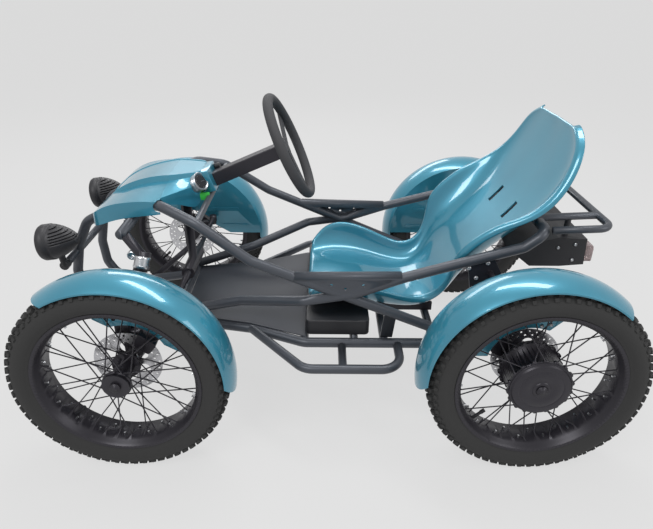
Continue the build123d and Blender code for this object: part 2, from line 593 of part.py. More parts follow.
def fender(x, shift, start, end, panel_edge, ribs):
    """Crowned wheel cover with rounded tips and a ribbed inner panel, its arc shifted from the axle."""
    crest = FENDER_CREST
    centre = Vector(x + shift[0], 0, AXLE_Z + shift[1])
    a = radians(start)
    plane = Plane(origin=centre, x_dir=(cos(a), 0, sin(a)), z_dir=(-sin(a), 0, cos(a)))
    inner, outer = (crest - FENDER_INNER_DROP, FENDER_INNER_Y), (crest - FENDER_OUTER_DROP, FENDER_OUTER_Y)
    top = (crest, WHEEL_Y - 12)
    inner_low, top_low, outer_low = [(r - FENDER_WALL, y) for r, y in (inner, top, outer)]
    with BuildSketch(plane) as crown:
        with BuildLine():
            ThreePointArc(inner, top, outer)
            Line(outer, outer_low)
            ThreePointArc(outer_low, top_low, inner_low)
            Line(inner_low, inner)
        make_face()
    revolve(crown.sketch, axis=Axis(centre, (0, -1, 0)), revolution_arc=end - start)
    middle = (FENDER_INNER_Y + FENDER_OUTER_Y) / 2
    half = (FENDER_OUTER_Y - FENDER_INNER_Y) / 2 + 3
    for angle, turn in ((start, 1), (end, -1)):
        c, n = cos(radians(angle)), sin(radians(angle))
        origin = centre + Vector(crest * c, middle, crest * n)
        tip = Plane(origin=origin, x_dir=(-n * turn, 0, c * turn), z_dir=(c, 0, n))
        with BuildSketch(tip) as corners:
            with BuildLine():
                ThreePointArc((TIP_LENGTH, -half), (0, 0), (TIP_LENGTH, half))
                Polyline((TIP_LENGTH, half), (-20, half), (-20, -half), (TIP_LENGTH, -half))
            make_face()
        extrude(corners.sketch, amount=28, both=True, mode=Mode.SUBTRACT)
    with BuildSketch(Plane.XZ.offset(-FENDER_INNER_Y)) as panel:
        with BuildLine():
            Polyline(*[(x + dx, z) for dx, z in panel_edge], close=True)
        make_face()
        with Locations((centre.X, centre.Z)):
            Circle(crest - FENDER_INNER_DROP - 0.5, mode=Mode.INTERSECT)
        with Locations((x, AXLE_Z)):
            Circle(PANEL_RELIEF, mode=Mode.SUBTRACT)
    extrude(panel.sketch, amount=-3)
    with BuildSketch(Plane.XZ.offset(-FENDER_INNER_Y)) as beads:
        for dx, z, length in ribs:
            with Locations((x + dx, z)):
                SlotOverall(length, 13)
    extrude(beads.sketch, amount=3)


# Inner panels, as (x from the axle, z), and their pressed ribs, as (x from the axle, z, length)
PANEL_RELIEF = 106.0
FRONT_PANEL = [(-101, 440), (-77, 397), (-35, 372), (80, 330), (150, 288), (300, 288), (300, 600), (-101, 600)]
FRONT_RIBS = [(172, 318, 100), (112, 385, 150), (40, 470, 150)]
REAR_PANEL = [(-300, 292), (-78, 292), (44, 375), (100, 430), (108, 500), (108, 620), (-300, 620)]
REAR_RIBS = [(-172, 318, 100), (-122, 385, 150), (-40, 492, 130)]
REAR_SHIFT = (-12, 9)
with BuildPart() as front_fender_right:
    fender(FRONT_X, (0, 0), -8, 127, FRONT_PANEL, FRONT_RIBS)
with BuildPart() as front_fender_left:
    mirror(front_fender_right.part, about=Plane.XZ)
with BuildPart() as rear_fender_right:
    fender(REAR_X, REAR_SHIFT, 48, 187, REAR_PANEL, REAR_RIBS)
with BuildPart() as rear_fender_left:
    mirror(rear_fender_right.part, about=Plane.XZ)


def tyre(x):
    """Hollow tyre carcass on the right side, at one axle."""
    centre = (x, WHEEL_Y, AXLE_Z)
    half = TYRE_WIDTH / 2
    bead, crown = RIM_RADIUS - 5.5, TYRE_RADIUS
    with BuildSketch(Plane(origin=centre)) as profile:
        with BuildLine():
            Line((bead, 41), (RIM_RADIUS + 1, 41))
            ThreePointArc((RIM_RADIUS + 1, 41), (bead + 32, half), (crown - 12, 44))
            ThreePointArc((crown - 12, 44), (crown, 0), (crown - 12, -44))
            ThreePointArc((crown - 12, -44), (bead + 32, -half), (RIM_RADIUS + 1, -41))
            Line((RIM_RADIUS + 1, -41), (bead, -41))
            Line((bead, -41), (bead, -34))
            ThreePointArc((bead, -34), (bead + 31, -half + 8), (crown - 19, -37))
            ThreePointArc((crown - 19, -37), (crown - 9, 0), (crown - 19, 37))
            ThreePointArc((crown - 19, 37), (bead + 31, half - 8), (bead, 34))
            Line((bead, 34), (bead, 41))
        make_face()
    revolve(profile.sketch, axis=Axis(centre, (0, 1, 0)))


def rim(centre):
    """Wide channel rim with bead shelves and flanges."""
    r, w = RIM_RADIUS, RIM_WIDTH / 2
    with BuildSketch(Plane(origin=centre)) as profile:
        with BuildLine():
            Polyline((RIM_FLOOR_RADIUS, -30), (r - 10, -34), (r - 10, -w - 1), (r, -w - 1), (r, 0.7 - w),
                     (r - 5.8, 0.7 - w), (r - 5.8, -33), (RIM_FLOOR_RADIUS + 3, -28), (RIM_FLOOR_RADIUS + 3, 28),
                     (r - 5.8, 33), (r - 5.8, w - 0.7), (r, w - 0.7), (r, w + 1), (r - 10, w + 1), (r - 10, 34),
                     (RIM_FLOOR_RADIUS, 30), close=True)
        make_face()
    revolve(profile.sketch, axis=Axis(centre, (0, 1, 0)))


def spokes(centre, flange_radius, flange_ys, lead):
    """Crossed spokes from two hub flanges to the rim floor."""
    x, y, z = centre
    per_side = SPOKE_COUNT // 2
    for side, flange_y in enumerate(flange_ys):
        for index in range(per_side):
            turn = 1 if index % 2 == 0 else -1
            at_hub = radians(360 / per_side * index + side * 180 / per_side)
            at_rim = at_hub + turn * radians(lead)
            reach = RIM_FLOOR_RADIUS + 1.5
            lug((x + flange_radius * cos(at_hub), y + flange_y + turn * 1.6, z + flange_radius * sin(at_hub)),
                (x + reach * cos(at_rim), y + (9 if side else -9), z + reach * sin(at_rim)), SPOKE_RADIUS)


FRONT_CENTRE = (FRONT_X, WHEEL_Y, AXLE_Z)
REAR_CENTRE = (REAR_X, WHEEL_Y, AXLE_Z)


def along(centre, start, end, radius, mode=Mode.ADD):
    """Round body on a wheel's axle between two offsets from its mid-plane."""
    x, y, z = centre
    lug((x, y + start, z), (x, y + end, z), radius, mode=mode)


def lobed_ring(centre, offset, width):
    """Motor casing's flange with a lobe at each bolt."""
    x, y, z = centre
    with BuildSketch(Plane(origin=(x, y + offset, z), z_dir=(0, 1, 0))) as ring:
        Circle(MOTOR_RADIUS + 2)
        with PolarLocations(MOTOR_RADIUS, LOBE_COUNT):
            Circle(LOBE_RADIUS)
    extrude(ring.sketch, amount=width)


MOTOR_RINGS = (-44, 30)
RING_WIDTH = 8.0
LOBE_COUNT = 18
LOBE_RADIUS = 6.5
with BuildPart() as front_wheel_right:
    rim(FRONT_CENTRE)
    along(FRONT_CENTRE, DISC_THICKNESS / 2 + SEAT_GAP - FRONT_DISC_OFFSET, HUB_OUTER, FRONT_BARREL_RADIUS)
    along(FRONT_CENTRE, HUB_OUTER - 8, HUB_OUTER, FRONT_CAP_RADIUS)
    for offset in (-38, 34):
        along(FRONT_CENTRE, offset - 3, offset + 3, FRONT_FLANGE_RADIUS)
    spokes(FRONT_CENTRE, FRONT_FLANGE_RADIUS - 4, (-38, 34), 60)
    along(FRONT_CENTRE, -60, 60, AXLE_RADIUS + SHAFT_CLEARANCE, mode=Mode.SUBTRACT)
with BuildPart() as rear_wheel_right:
    rim(REAR_CENTRE)
    along(REAR_CENTRE, -56, 38, MOTOR_RADIUS - 3)
    along(REAR_CENTRE, 34, HUB_OUTER, MOTOR_RADIUS - 8)
    along(REAR_CENTRE, DISC_THICKNESS / 2 + SEAT_GAP - REAR_DISC_OFFSET, -50, 30)
    for offset in MOTOR_RINGS:
        lobed_ring(REAR_CENTRE, offset, RING_WIDTH)
    spokes(REAR_CENTRE, MOTOR_RADIUS + 1, [offset + RING_WIDTH / 2 for offset in MOTOR_RINGS], 20)
    along(REAR_CENTRE, -90, 60, AXLE_RADIUS + SHAFT_CLEARANCE, mode=Mode.SUBTRACT)


def brake_disc(x, disc_y):
    """Perforated brake disc."""
    with BuildSketch(Plane(origin=(x, disc_y - DISC_THICKNESS / 2, AXLE_Z), z_dir=(0, 1, 0))) as disc:
        Circle(DISC_RADIUS)
        Circle(AXLE_RADIUS + SHAFT_CLEARANCE, mode=Mode.SUBTRACT)
        for inset, turn in ((8, 0), (19, 7.5)):
            with PolarLocations(DISC_RADIUS - inset, 24, start_angle=turn):
                Circle(3, mode=Mode.SUBTRACT)
        with PolarLocations(DISC_RADIUS - 43, 6):
            Circle(15, mode=Mode.SUBTRACT)
    extrude(disc.sketch, amount=DISC_THICKNESS)


with BuildPart() as front_disc_right:
    brake_disc(FRONT_X, FRONT_DISC_Y)
with BuildPart() as rear_disc_right:
    brake_disc(REAR_X, REAR_DISC_Y)
with BuildPart() as front_tyre_right:
    tyre(FRONT_X)
with BuildPart() as rear_tyre_right:
    tyre(REAR_X)
with BuildPart() as front_wheel_left:
    mirror(front_wheel_right.part, about=Plane.XZ)
with BuildPart() as rear_wheel_left:
    mirror(rear_wheel_right.part, about=Plane.XZ)
with BuildPart() as front_disc_left:
    mirror(front_disc_right.part, about=Plane.XZ)
with BuildPart() as rear_disc_left:
    mirror(rear_disc_right.part, about=Plane.XZ)
with BuildPart() as front_tyre_left:
    mirror(front_tyre_right.part, about=Plane.XZ)
with BuildPart() as rear_tyre_left:
    mirror(rear_tyre_right.part, about=Plane.XZ)

for piece, name in (
    (side_frame_right, "side_frame_right"), (side_frame_left, "side_frame_left"),
    (floor_frame, "floor_frame"), (front_frame, "front_frame"), (rear_frame, "rear_frame"),
    (step_right, "step_right"), (step_left, "step_left"), (floor_pan, "floor_pan"),
    (battery_box, "battery_box"), (seat, "seat"), (seat_mount, "seat_mount"), (hood, "hood"), (gauge, "gauge"),
    (control_knob, "control_knob"), (steering_column, "steering_column"),
    (steering_wheel, "steering_wheel"), (steering_gear, "steering_gear"), (tie_rod, "tie_rod"),
    (front_arm_right, "front_arm_right"), (front_arm_left, "front_arm_left"),
    (strut_right, "strut_right"), (strut_left, "strut_left"),
    (knuckle_right, "knuckle_right"), (knuckle_left, "knuckle_left"),
    (front_caliper_right, "front_caliper_right"), (front_caliper_left, "front_caliper_left"),
    (rear_calipers, "rear_calipers"), (rear_axle, "rear_axle"), (rear_plates, "rear_plates"),
    (rear_tray, "rear_tray"), (tail_lamps, "tail_lamps"), (headlamps, "headlamps"),
    (headlamp_lenses, "headlamp_lenses"), (front_fender_right, "front_fender_right"),
    (front_fender_left, "front_fender_left"), (rear_fender_right, "rear_fender_right"),
    (rear_fender_left, "rear_fender_left"), (front_wheel_right, "front_wheel_right"),
    (front_wheel_left, "front_wheel_left"), (rear_wheel_right, "rear_wheel_right"),
    (rear_wheel_left, "rear_wheel_left"), (front_disc_right, "front_disc_right"),
    (front_disc_left, "front_disc_left"), (rear_disc_right, "rear_disc_right"),
    (rear_disc_left, "rear_disc_left"), (front_tyre_right, "front_tyre_right"),
    (front_tyre_left, "front_tyre_left"), (rear_tyre_right, "rear_tyre_right"),
    (rear_tyre_left, "rear_tyre_left"),
):
    finish(piece, name)
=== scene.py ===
"""Dressed scene of an open one-seat electric quadricycle with spoked wheels and teal bodywork."""

from __future__ import annotations

import json
import logging
import math
from dataclasses import dataclass
from enum import Enum

import bmesh
import bpy
from mathutils import Matrix, Vector

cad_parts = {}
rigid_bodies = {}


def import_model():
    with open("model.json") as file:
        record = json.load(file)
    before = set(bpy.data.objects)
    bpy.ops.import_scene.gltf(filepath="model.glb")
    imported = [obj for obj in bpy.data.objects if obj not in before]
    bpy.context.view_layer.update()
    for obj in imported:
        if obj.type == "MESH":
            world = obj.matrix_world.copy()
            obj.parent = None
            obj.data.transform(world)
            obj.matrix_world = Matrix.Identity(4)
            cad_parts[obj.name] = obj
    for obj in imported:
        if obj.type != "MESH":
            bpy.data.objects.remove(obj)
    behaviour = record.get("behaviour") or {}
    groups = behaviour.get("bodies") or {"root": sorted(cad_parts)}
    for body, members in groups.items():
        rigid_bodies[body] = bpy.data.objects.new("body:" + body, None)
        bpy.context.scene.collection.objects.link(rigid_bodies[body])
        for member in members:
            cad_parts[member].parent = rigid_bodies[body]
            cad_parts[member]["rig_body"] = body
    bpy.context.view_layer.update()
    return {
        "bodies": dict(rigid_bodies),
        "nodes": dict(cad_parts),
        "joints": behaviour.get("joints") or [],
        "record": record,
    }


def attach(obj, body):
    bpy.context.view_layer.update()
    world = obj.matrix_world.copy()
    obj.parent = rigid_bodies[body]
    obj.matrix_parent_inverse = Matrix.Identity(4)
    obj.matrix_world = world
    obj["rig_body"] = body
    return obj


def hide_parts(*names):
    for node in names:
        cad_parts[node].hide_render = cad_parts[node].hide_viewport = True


LOG = logging.getLogger("quadricycle")

Colour = tuple[float, float, float, float]

MM = 0.001
AXLES = {"front": -0.52, "rear": 0.52}
HALF_TRACK = 0.44
TYRE_RADIUS = 0.275


class Slot(Enum):
    """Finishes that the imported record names."""

    FRAME_PAINT = "frame_paint"
    BODY_PAINT = "body_paint"
    BLACK_PLASTIC = "black_plastic"
    BLACK_METAL = "black_metal"
    TYRE_RUBBER = "tyre_rubber"
    GRIP_RUBBER = "grip_rubber"
    DISC_STEEL = "disc_steel"
    ALLOY = "alloy"
    LAMP_GLASS = "lamp_glass"
    TAIL_LENS = "tail_lens"


class Side(Enum):
    """The two sides of the vehicle, each with its sign along Y."""

    RIGHT = 1
    LEFT = -1


def rgb(red: float, green: float, blue: float) -> Colour:
    """Opaque linear colour."""
    return (red, green, blue, 1.0)


class NodeTools:
    """Small helpers that lay nodes and links in one node tree."""

    def __init__(self, tree: bpy.types.NodeTree) -> None:
        """Keep the tree that the nodes go into."""
        self.tree = tree

    def add(self, kind: str, **values: object) -> bpy.types.Node:
        """Add a node and set its attributes.

        Args:
            kind: Blender's type name of the node.
            values: attributes of the node, by name.

        Returns:
            The new node.
        """
        node = self.tree.nodes.new(kind)
        for name, value in values.items():
            setattr(node, name, value)
        return node

    def link(self, source: bpy.types.NodeSocket, target: bpy.types.NodeSocket) -> None:
        """Join an output socket to an input socket."""
        self.tree.links.new(source, target)

    def background_rays(self) -> bpy.types.NodeSocket:
        """Say which rays show the background: those of the camera, of gloss and through glass.

        Returns:
            The socket that gives 1 for such a ray and 0 for any other.
        """
        rays = self.add("ShaderNodeLightPath")
        seen = rays.outputs["Is Camera Ray"]
        for kind in ("Is Glossy Ray", "Is Transmission Ray"):
            either = self.add("ShaderNodeMath", operation="MAXIMUM")
            self.link(seen, either.inputs[0])
            self.link(rays.outputs[kind], either.inputs[1])
            seen = either.outputs[0]
        return seen


def surface_grain() -> bpy.types.NodeTree:
    """Shader group that varies tone and gives a fine height, for paint, plastic and rubber.

    Returns:
        The node group, built once.
    """
    name = "surface_grain"
    if name in bpy.data.node_groups:
        return bpy.data.node_groups[name]
    tree = bpy.data.node_groups.new(name, "ShaderNodeTree")
    sockets = tree.interface
    for label, default in (("Fine Scale", 900.0), ("Broad Scale", 9.0), ("Tone", 0.1)):
        socket = sockets.new_socket(label, in_out="INPUT", socket_type="NodeSocketFloat")
        socket.default_value = default
    for label in ("Factor", "Height", "Broad"):
        sockets.new_socket(label, in_out="OUTPUT", socket_type="NodeSocketFloat")
    tools = NodeTools(tree)
    given = tools.add("NodeGroupInput")
    result = tools.add("NodeGroupOutput")
    place = tools.add("ShaderNodeTexCoord")
    fine = tools.add("ShaderNodeTexNoise")
    broad = tools.add("ShaderNodeTexNoise")
    tone = tools.add("ShaderNodeMath", operation="MULTIPLY")
    centred = tools.add("ShaderNodeMath", operation="SUBTRACT")
    centred.inputs[1].default_value = 0.5
    for noise, label in ((fine, "Fine Scale"), (broad, "Broad Scale")):
        noise.inputs["Detail"].default_value = 3.0
        tools.link(place.outputs["Object"], noise.inputs["Vector"])
        tools.link(given.outputs[label], noise.inputs["Scale"])
    tools.link(broad.outputs["Fac"], centred.inputs[0])
    tools.link(centred.outputs[0], tone.inputs[0])
    tools.link(given.outputs["Tone"], tone.inputs[1])
    tools.link(tone.outputs[0], result.inputs["Factor"])
    tools.link(fine.outputs["Fac"], result.inputs["Height"])
    tools.link(broad.outputs["Fac"], result.inputs["Broad"])
    return tree


@dataclass(frozen=True)
class Finish:
    """A solid finish: paint, plastic, rubber or metal, with its grain and gloss."""

    name: str
    colour: Colour
    dark: Colour
    roughness: float
    metallic: float = 0.0
    coat: float = 0.0
    coat_roughness: float = 0.05
    specular: float = 0.5
    fine_scale: float = 900.0
    broad_scale: float = 9.0
    bump: float = 0.05
    bump_depth: float = 0.0002
    rough_spread: float = 0.12

    def build(self) -> bpy.types.Material:
        """Make the material once, with its tone, roughness and bump from the grain group.

        Returns:
            The material.
        """
        if self.name in bpy.data.materials:
            return bpy.data.materials[self.name]
        material = bpy.data.materials.new(self.name)
        material.use_nodes = True
        tools = NodeTools(material.node_tree)
        shader = material.node_tree.nodes["Principled BSDF"]
        shader.inputs["Metallic"].default_value = self.metallic
        shader.inputs["Coat Weight"].default_value = self.coat
        shader.inputs["Coat Roughness"].default_value = self.coat_roughness
        shader.inputs["Specular IOR Level"].default_value = self.specular
        grain = tools.add("ShaderNodeGroup", node_tree=surface_grain())
        grain.inputs["Fine Scale"].default_value = self.fine_scale
        grain.inputs["Broad Scale"].default_value = self.broad_scale
        blend = tools.add("ShaderNodeMix", data_type="RGBA")
        blend.inputs["A"].default_value = self.dark
        blend.inputs["B"].default_value = self.colour
        tools.link(grain.outputs["Broad"], blend.inputs["Factor"])
        tools.link(blend.outputs["Result"], shader.inputs["Base Color"])
        rough = tools.add("ShaderNodeMapRange")
        rough.inputs["To Min"].default_value = self.roughness * (1 - self.rough_spread)
        rough.inputs["To Max"].default_value = self.roughness * (1 + self.rough_spread)
        tools.link(grain.outputs["Broad"], rough.inputs["Value"])
        tools.link(rough.outputs["Result"], shader.inputs["Roughness"])
        bump = tools.add("ShaderNodeBump")
        bump.inputs["Strength"].default_value = self.bump
        bump.inputs["Distance"].default_value = self.bump_depth
        tools.link(grain.outputs["Height"], bump.inputs["Height"])
        tools.link(bump.outputs["Normal"], shader.inputs["Normal"])
        return material


@dataclass(frozen=True)
class ClearFinish:
    """A lens: clear or tinted, moulded with fine flutes."""

    name: str
    colour: Colour
    roughness: float = 0.05
    transmission: float = 0.9
    flute_scale: float = 260.0
    flute_bump: float = 0.3
    flute_depth: float = 0.0005
    shade: float = 0.8

    def build(self) -> bpy.types.Material:
        """Make the lens material once, with flutes moulded across it.

        Returns:
            The material.
        """
        if self.name in bpy.data.materials:
            return bpy.data.materials[self.name]
        material = bpy.data.materials.new(self.name)
        material.use_nodes = True
        tools = NodeTools(material.node_tree)
        shader = material.node_tree.nodes["Principled BSDF"]
        shader.inputs["Transmission Weight"].default_value = self.transmission
        shader.inputs["Roughness"].default_value = self.roughness
        grain = tools.add("ShaderNodeGroup", node_tree=surface_grain())
        tint = tools.add("ShaderNodeMix", data_type="RGBA")
        tint.inputs["A"].default_value = tuple(self.shade * c for c in self.colour[:3]) + (1.0,)
        tint.inputs["B"].default_value = self.colour
        tools.link(grain.outputs["Broad"], tint.inputs["Factor"])
        tools.link(tint.outputs["Result"], shader.inputs["Base Color"])
        place = tools.add("ShaderNodeTexCoord")
        flutes = tools.add("ShaderNodeTexWave", bands_direction="Y")
        flutes.inputs["Scale"].default_value = self.flute_scale
        bump = tools.add("ShaderNodeBump")
        bump.inputs["Strength"].default_value = self.flute_bump
        bump.inputs["Distance"].default_value = self.flute_depth
        tools.link(place.outputs["Object"], flutes.inputs["Vector"])
        tools.link(flutes.outputs["Fac"], bump.inputs["Height"])
        tools.link(bump.outputs["Normal"], shader.inputs["Normal"])
        return material


FINISHES: dict[Slot, Finish | ClearFinish] = {
    Slot.BODY_PAINT: Finish("teal_gloss_paint", rgb(0.034, 0.262, 0.372), rgb(0.024, 0.205, 0.305), 0.34,
                            metallic=0.35, coat=1.0, coat_roughness=0.04, fine_scale=2600.0, bump=0.04),
    Slot.FRAME_PAINT: Finish("graphite_powder_coat", rgb(0.076, 0.083, 0.098), rgb(0.058, 0.064, 0.077), 0.38,
                             metallic=0.3, fine_scale=1400.0, bump=0.25),
    Slot.BLACK_PLASTIC: Finish("black_moulded_plastic", rgb(0.022, 0.022, 0.026), rgb(0.015, 0.015, 0.018),
                               0.5, fine_scale=1100.0, bump=0.25),
    Slot.BLACK_METAL: Finish("black_satin_metal", rgb(0.036, 0.034, 0.042), rgb(0.023, 0.021, 0.028), 0.36,
                             metallic=0.4, bump=0.1),
    Slot.TYRE_RUBBER: Finish("tyre_rubber", rgb(0.040, 0.036, 0.044), rgb(0.027, 0.025, 0.031), 0.62,
                             specular=0.35, fine_scale=700.0, bump=0.35),
    Slot.GRIP_RUBBER: Finish("grip_rubber", rgb(0.05, 0.05, 0.058), rgb(0.036, 0.036, 0.043), 0.6,
                             fine_scale=1600.0, bump=0.3),
    Slot.DISC_STEEL: Finish("brushed_disc_steel", rgb(0.62, 0.62, 0.64), rgb(0.5, 0.5, 0.52), 0.28,
                            metallic=1.0, fine_scale=500.0, bump=0.1),
    Slot.ALLOY: Finish("machined_alloy", rgb(0.62, 0.63, 0.65), rgb(0.5, 0.51, 0.53), 0.3,
                       metallic=1.0, fine_scale=600.0, bump=0.12),
    Slot.LAMP_GLASS: ClearFinish("lamp_lens_glass", rgb(0.16, 0.17, 0.19), transmission=0.55),
    Slot.TAIL_LENS: ClearFinish("tail_lens_clear", rgb(0.82, 0.66, 0.66), roughness=0.1, transmission=0.75),
}
DECK_PAINT = Finish("dark_deck_paint", rgb(0.030, 0.034, 0.044), rgb(0.022, 0.025, 0.034), 0.55)
DISPLAY_GREEN = Finish("display_green", rgb(0.06, 0.60, 0.08), rgb(0.04, 0.48, 0.06), 0.3)
# Construction nodes whose look differs from their slot's finish
NODE_LOOKS = {"steering_gear": FINISHES[Slot.BLACK_METAL], "floor_pan": DECK_PAINT}


def dress(piece: bpy.types.Object, material: bpy.types.Material) -> None:
    """Give a piece one material."""
    piece.data.materials.clear()
    piece.data.materials.append(material)


@dataclass
class Studio:
    """Camera, floor, world and lamps."""

    camera_place: tuple[float, float, float] = (-0.0163, -1.5206, 1.1863)
    camera_pitch: float = 26.057
    camera_yaw: float = 0.247
    camera_roll: float = 0.245
    focal_pixels: float = 545.03
    centre_pixel: tuple[float, float] = (320.33, 239.36)
    picture: tuple[int, int] = (653, 529)
    sensor: float = 36.0
    floor_radius: float = 60.0
    backdrop: Colour = (0.708, 0.708, 0.708, 1.0)
    world_strength: float = 0.75
    # the floor's own colour, its glow and the glow's share in what the camera, gloss and glass see
    floor_colour: Colour = (0.56, 0.56, 0.56, 1.0)
    floor_seen: Colour = (0.79, 0.79, 0.79, 1.0)
    floor_glow: float = 0.82
    # what the lamps face, and each lamp's name, place, width, height and power
    aim: tuple[float, float, float] = (0.0, 0.0, 0.4)
    lamps: tuple[tuple, ...] = (
        ("key_lamp", (-1.2, -2.2, 3.0), (1.6, 0.8), 42.0),
        ("top_lamp", (0.3, 0.4, 3.2), (2.6, 0.5), 46.0),
        ("fill_lamp", (2.6, -1.6, 1.8), (1.2, 1.2), 16.0),
        ("back_lamp", (-0.6, 3.0, 2.2), (2.4, 0.7), 26.0))

    def add_camera(self) -> None:
        """Set the camera at the photograph's place, angle and framing."""
        width, height = self.picture
        data = bpy.data.cameras.new("camera")
        data.sensor_width = self.sensor
        data.lens = self.sensor * self.focal_pixels / width
        data.shift_x = (width / 2 - self.centre_pixel[0]) / width
        data.shift_y = (self.centre_pixel[1] - height / 2) / width
        camera = bpy.data.objects.new("camera", data)
        turn = (Matrix.Rotation(math.radians(self.camera_yaw), 4, "Z")
                @ Matrix.Rotation(math.radians(90 - self.camera_pitch), 4, "X")
                @ Matrix.Rotation(math.radians(self.camera_roll), 4, "Z"))
        camera.matrix_world = Matrix.Translation(self.camera_place) @ turn
        bpy.context.scene.collection.objects.link(camera)
        bpy.context.scene.camera = camera

    def add_floor(self) -> None:
        """Lay a plain pale floor that keeps the vehicle's shadow."""
        shape = bmesh.new()
        bmesh.ops.create_circle(shape, cap_ends=True, segments=96, radius=self.floor_radius)
        floor = plain_object("floor", shape)
        material = bpy.data.materials.new("pale_floor")
        material.use_nodes = True
        tools = NodeTools(material.node_tree)
        shader = material.node_tree.nodes["Principled BSDF"]
        shader.inputs["Roughness"].default_value = 0.9
        shader.inputs["Specular IOR Level"].default_value = 0.1
        shader.inputs["Base Color"].default_value = self.floor_colour
        output = material.node_tree.nodes["Material Output"]
        glow = tools.add("ShaderNodeEmission")
        glow.inputs["Color"].default_value = self.floor_seen
        blend = tools.add("ShaderNodeMixShader")
        share = tools.add("ShaderNodeMath", operation="MULTIPLY")
        share.inputs[1].default_value = self.floor_glow
        tools.link(tools.background_rays(), share.inputs[0])
        tools.link(share.outputs[0], blend.inputs["Fac"])
        tools.link(shader.outputs["BSDF"], blend.inputs[1])
        tools.link(glow.outputs["Emission"], blend.inputs[2])
        tools.link(blend.outputs["Shader"], output.inputs["Surface"])
        dress(floor, material)

    def add_world(self) -> None:
        """Set a pale even world, seen as the backdrop."""
        world = bpy.data.worlds.new("studio")
        world.use_nodes = True
        shade = world.node_tree.nodes["Background"]
        shade.inputs["Color"].default_value = self.backdrop
        shade.inputs["Strength"].default_value = self.world_strength
        tools = NodeTools(world.node_tree)
        seen = tools.add("ShaderNodeBackground")
        seen.inputs["Color"].default_value = self.backdrop
        blend = tools.add("ShaderNodeMixShader")
        tools.link(tools.background_rays(), blend.inputs["Fac"])
        tools.link(shade.outputs["Background"], blend.inputs[1])
        tools.link(seen.outputs["Background"], blend.inputs[2])
        tools.link(blend.outputs["Shader"], world.node_tree.nodes["World Output"].inputs["Surface"])
        bpy.context.scene.world = world

    def add_lamps(self) -> None:
        """Hang soft rectangular lamps over and beside the vehicle."""
        for name, place, size, power in self.lamps:
            data = bpy.data.lights.new(name, "AREA")
            data.shape = "RECTANGLE"
            data.size, data.size_y = size
            data.energy = power
            lamp = bpy.data.objects.new(name, data)
            beam = Vector(self.aim) - Vector(place)
            lamp.matrix_world = Matrix.Translation(place) @ beam.to_track_quat("-Z", "Y").to_matrix().to_4x4()
            bpy.context.scene.collection.objects.link(lamp)

    def build(self) -> None:
        """Set up everything round the vehicle."""
        bpy.context.scene.view_settings.view_transform = "Standard"
        self.add_camera()
        self.add_floor()
        self.add_world()
        self.add_lamps()


def plain_object(name: str, shape: bmesh.types.BMesh) -> bpy.types.Object:
    """Put a bmesh into the scene as an object at the origin.

    Args:
        name: the object's name.
        shape: the bmesh, which is freed.

    Returns:
        The new object.
    """
    mesh = bpy.data.meshes.new(name)
    shape.to_mesh(mesh)
    shape.free()
    made = bpy.data.objects.new(name, mesh)
    bpy.context.scene.collection.objects.link(made)
    return made


def new_piece(name: str, shape: bmesh.types.BMesh, slot: Slot, body: str,
              angle: float = 40.0) -> bpy.types.Object:
    """Turn a bmesh into a finished piece that rides on a body.

    Args:
        name: the piece's name.
        shape: the bmesh, in place on the vehicle, which is freed.
        slot: the record's slot that gives its finish.
        body: the body it rides on.
        angle: edges sharper than this, in degrees, stay sharp.

    Returns:
        The new object.
    """
    piece = plain_object(name, shape)
    for face in piece.data.polygons:
        face.use_smooth = True
    piece.data.set_sharp_from_angle(angle=math.radians(angle))
    dress(piece, FINISHES[slot].build())
    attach(piece, body)
    LOG.info("%s: %d faces", name, len(piece.data.polygons))
    return piece


def closed_piece(name: str, shape: bmesh.types.BMesh, slot: Slot, body: str,
                 angle: float = 40.0) -> bpy.types.Object:
    """Turn the faces of a closed bmesh outwards and make it a piece, with the arguments of new_piece."""
    bmesh.ops.recalc_face_normals(shape, faces=shape.faces)
    return new_piece(name, shape, slot, body, angle)


def sheet_through(rows: list[list[Vector]]) -> bmesh.types.BMesh:
    """Bend a grid so that it passes through rows of points.

    Args:
        rows: one list of points for each section, all of one length.

    Returns:
        The bent grid.
    """
    shape = bmesh.new()
    across, along = len(rows[0]) - 1, len(rows) - 1
    bmesh.ops.create_grid(shape, x_segments=across, y_segments=along, size=0.5)
    for vertex in shape.verts:
        column = round((vertex.co.x + 0.5) * across)
        row = round((vertex.co.y + 0.5) * along)
        vertex.co = rows[row][column]
    return shape


def blended_rows(table: tuple[tuple[float, ...], ...], parts: int) -> list[list[float]]:
    """Put smooth rows between the rows of a table.

    Args:
        table: rows of numbers, of one length.
        parts: number of steps from one row to the next.

    Returns:
        The rows and those between them, on a curve through every row.
    """
    rows: list[list[float]] = []
    last = len(table) - 1
    for index in range(last):
        before, start = table[max(index - 1, 0)], table[index]
        end, after = table[index + 1], table[min(index + 2, last)]
        for step in range(parts):
            t = step / parts
            rows.append([0.5 * (2 * b + (c - a) * t + (2 * a - 5 * b + 4 * c - d) * t * t
                                + (3 * b - a - 3 * c + d) * t ** 3)
                         for a, b, c, d in zip(before, start, end, after)])
    rows.append(list(table[last]))
    return rows


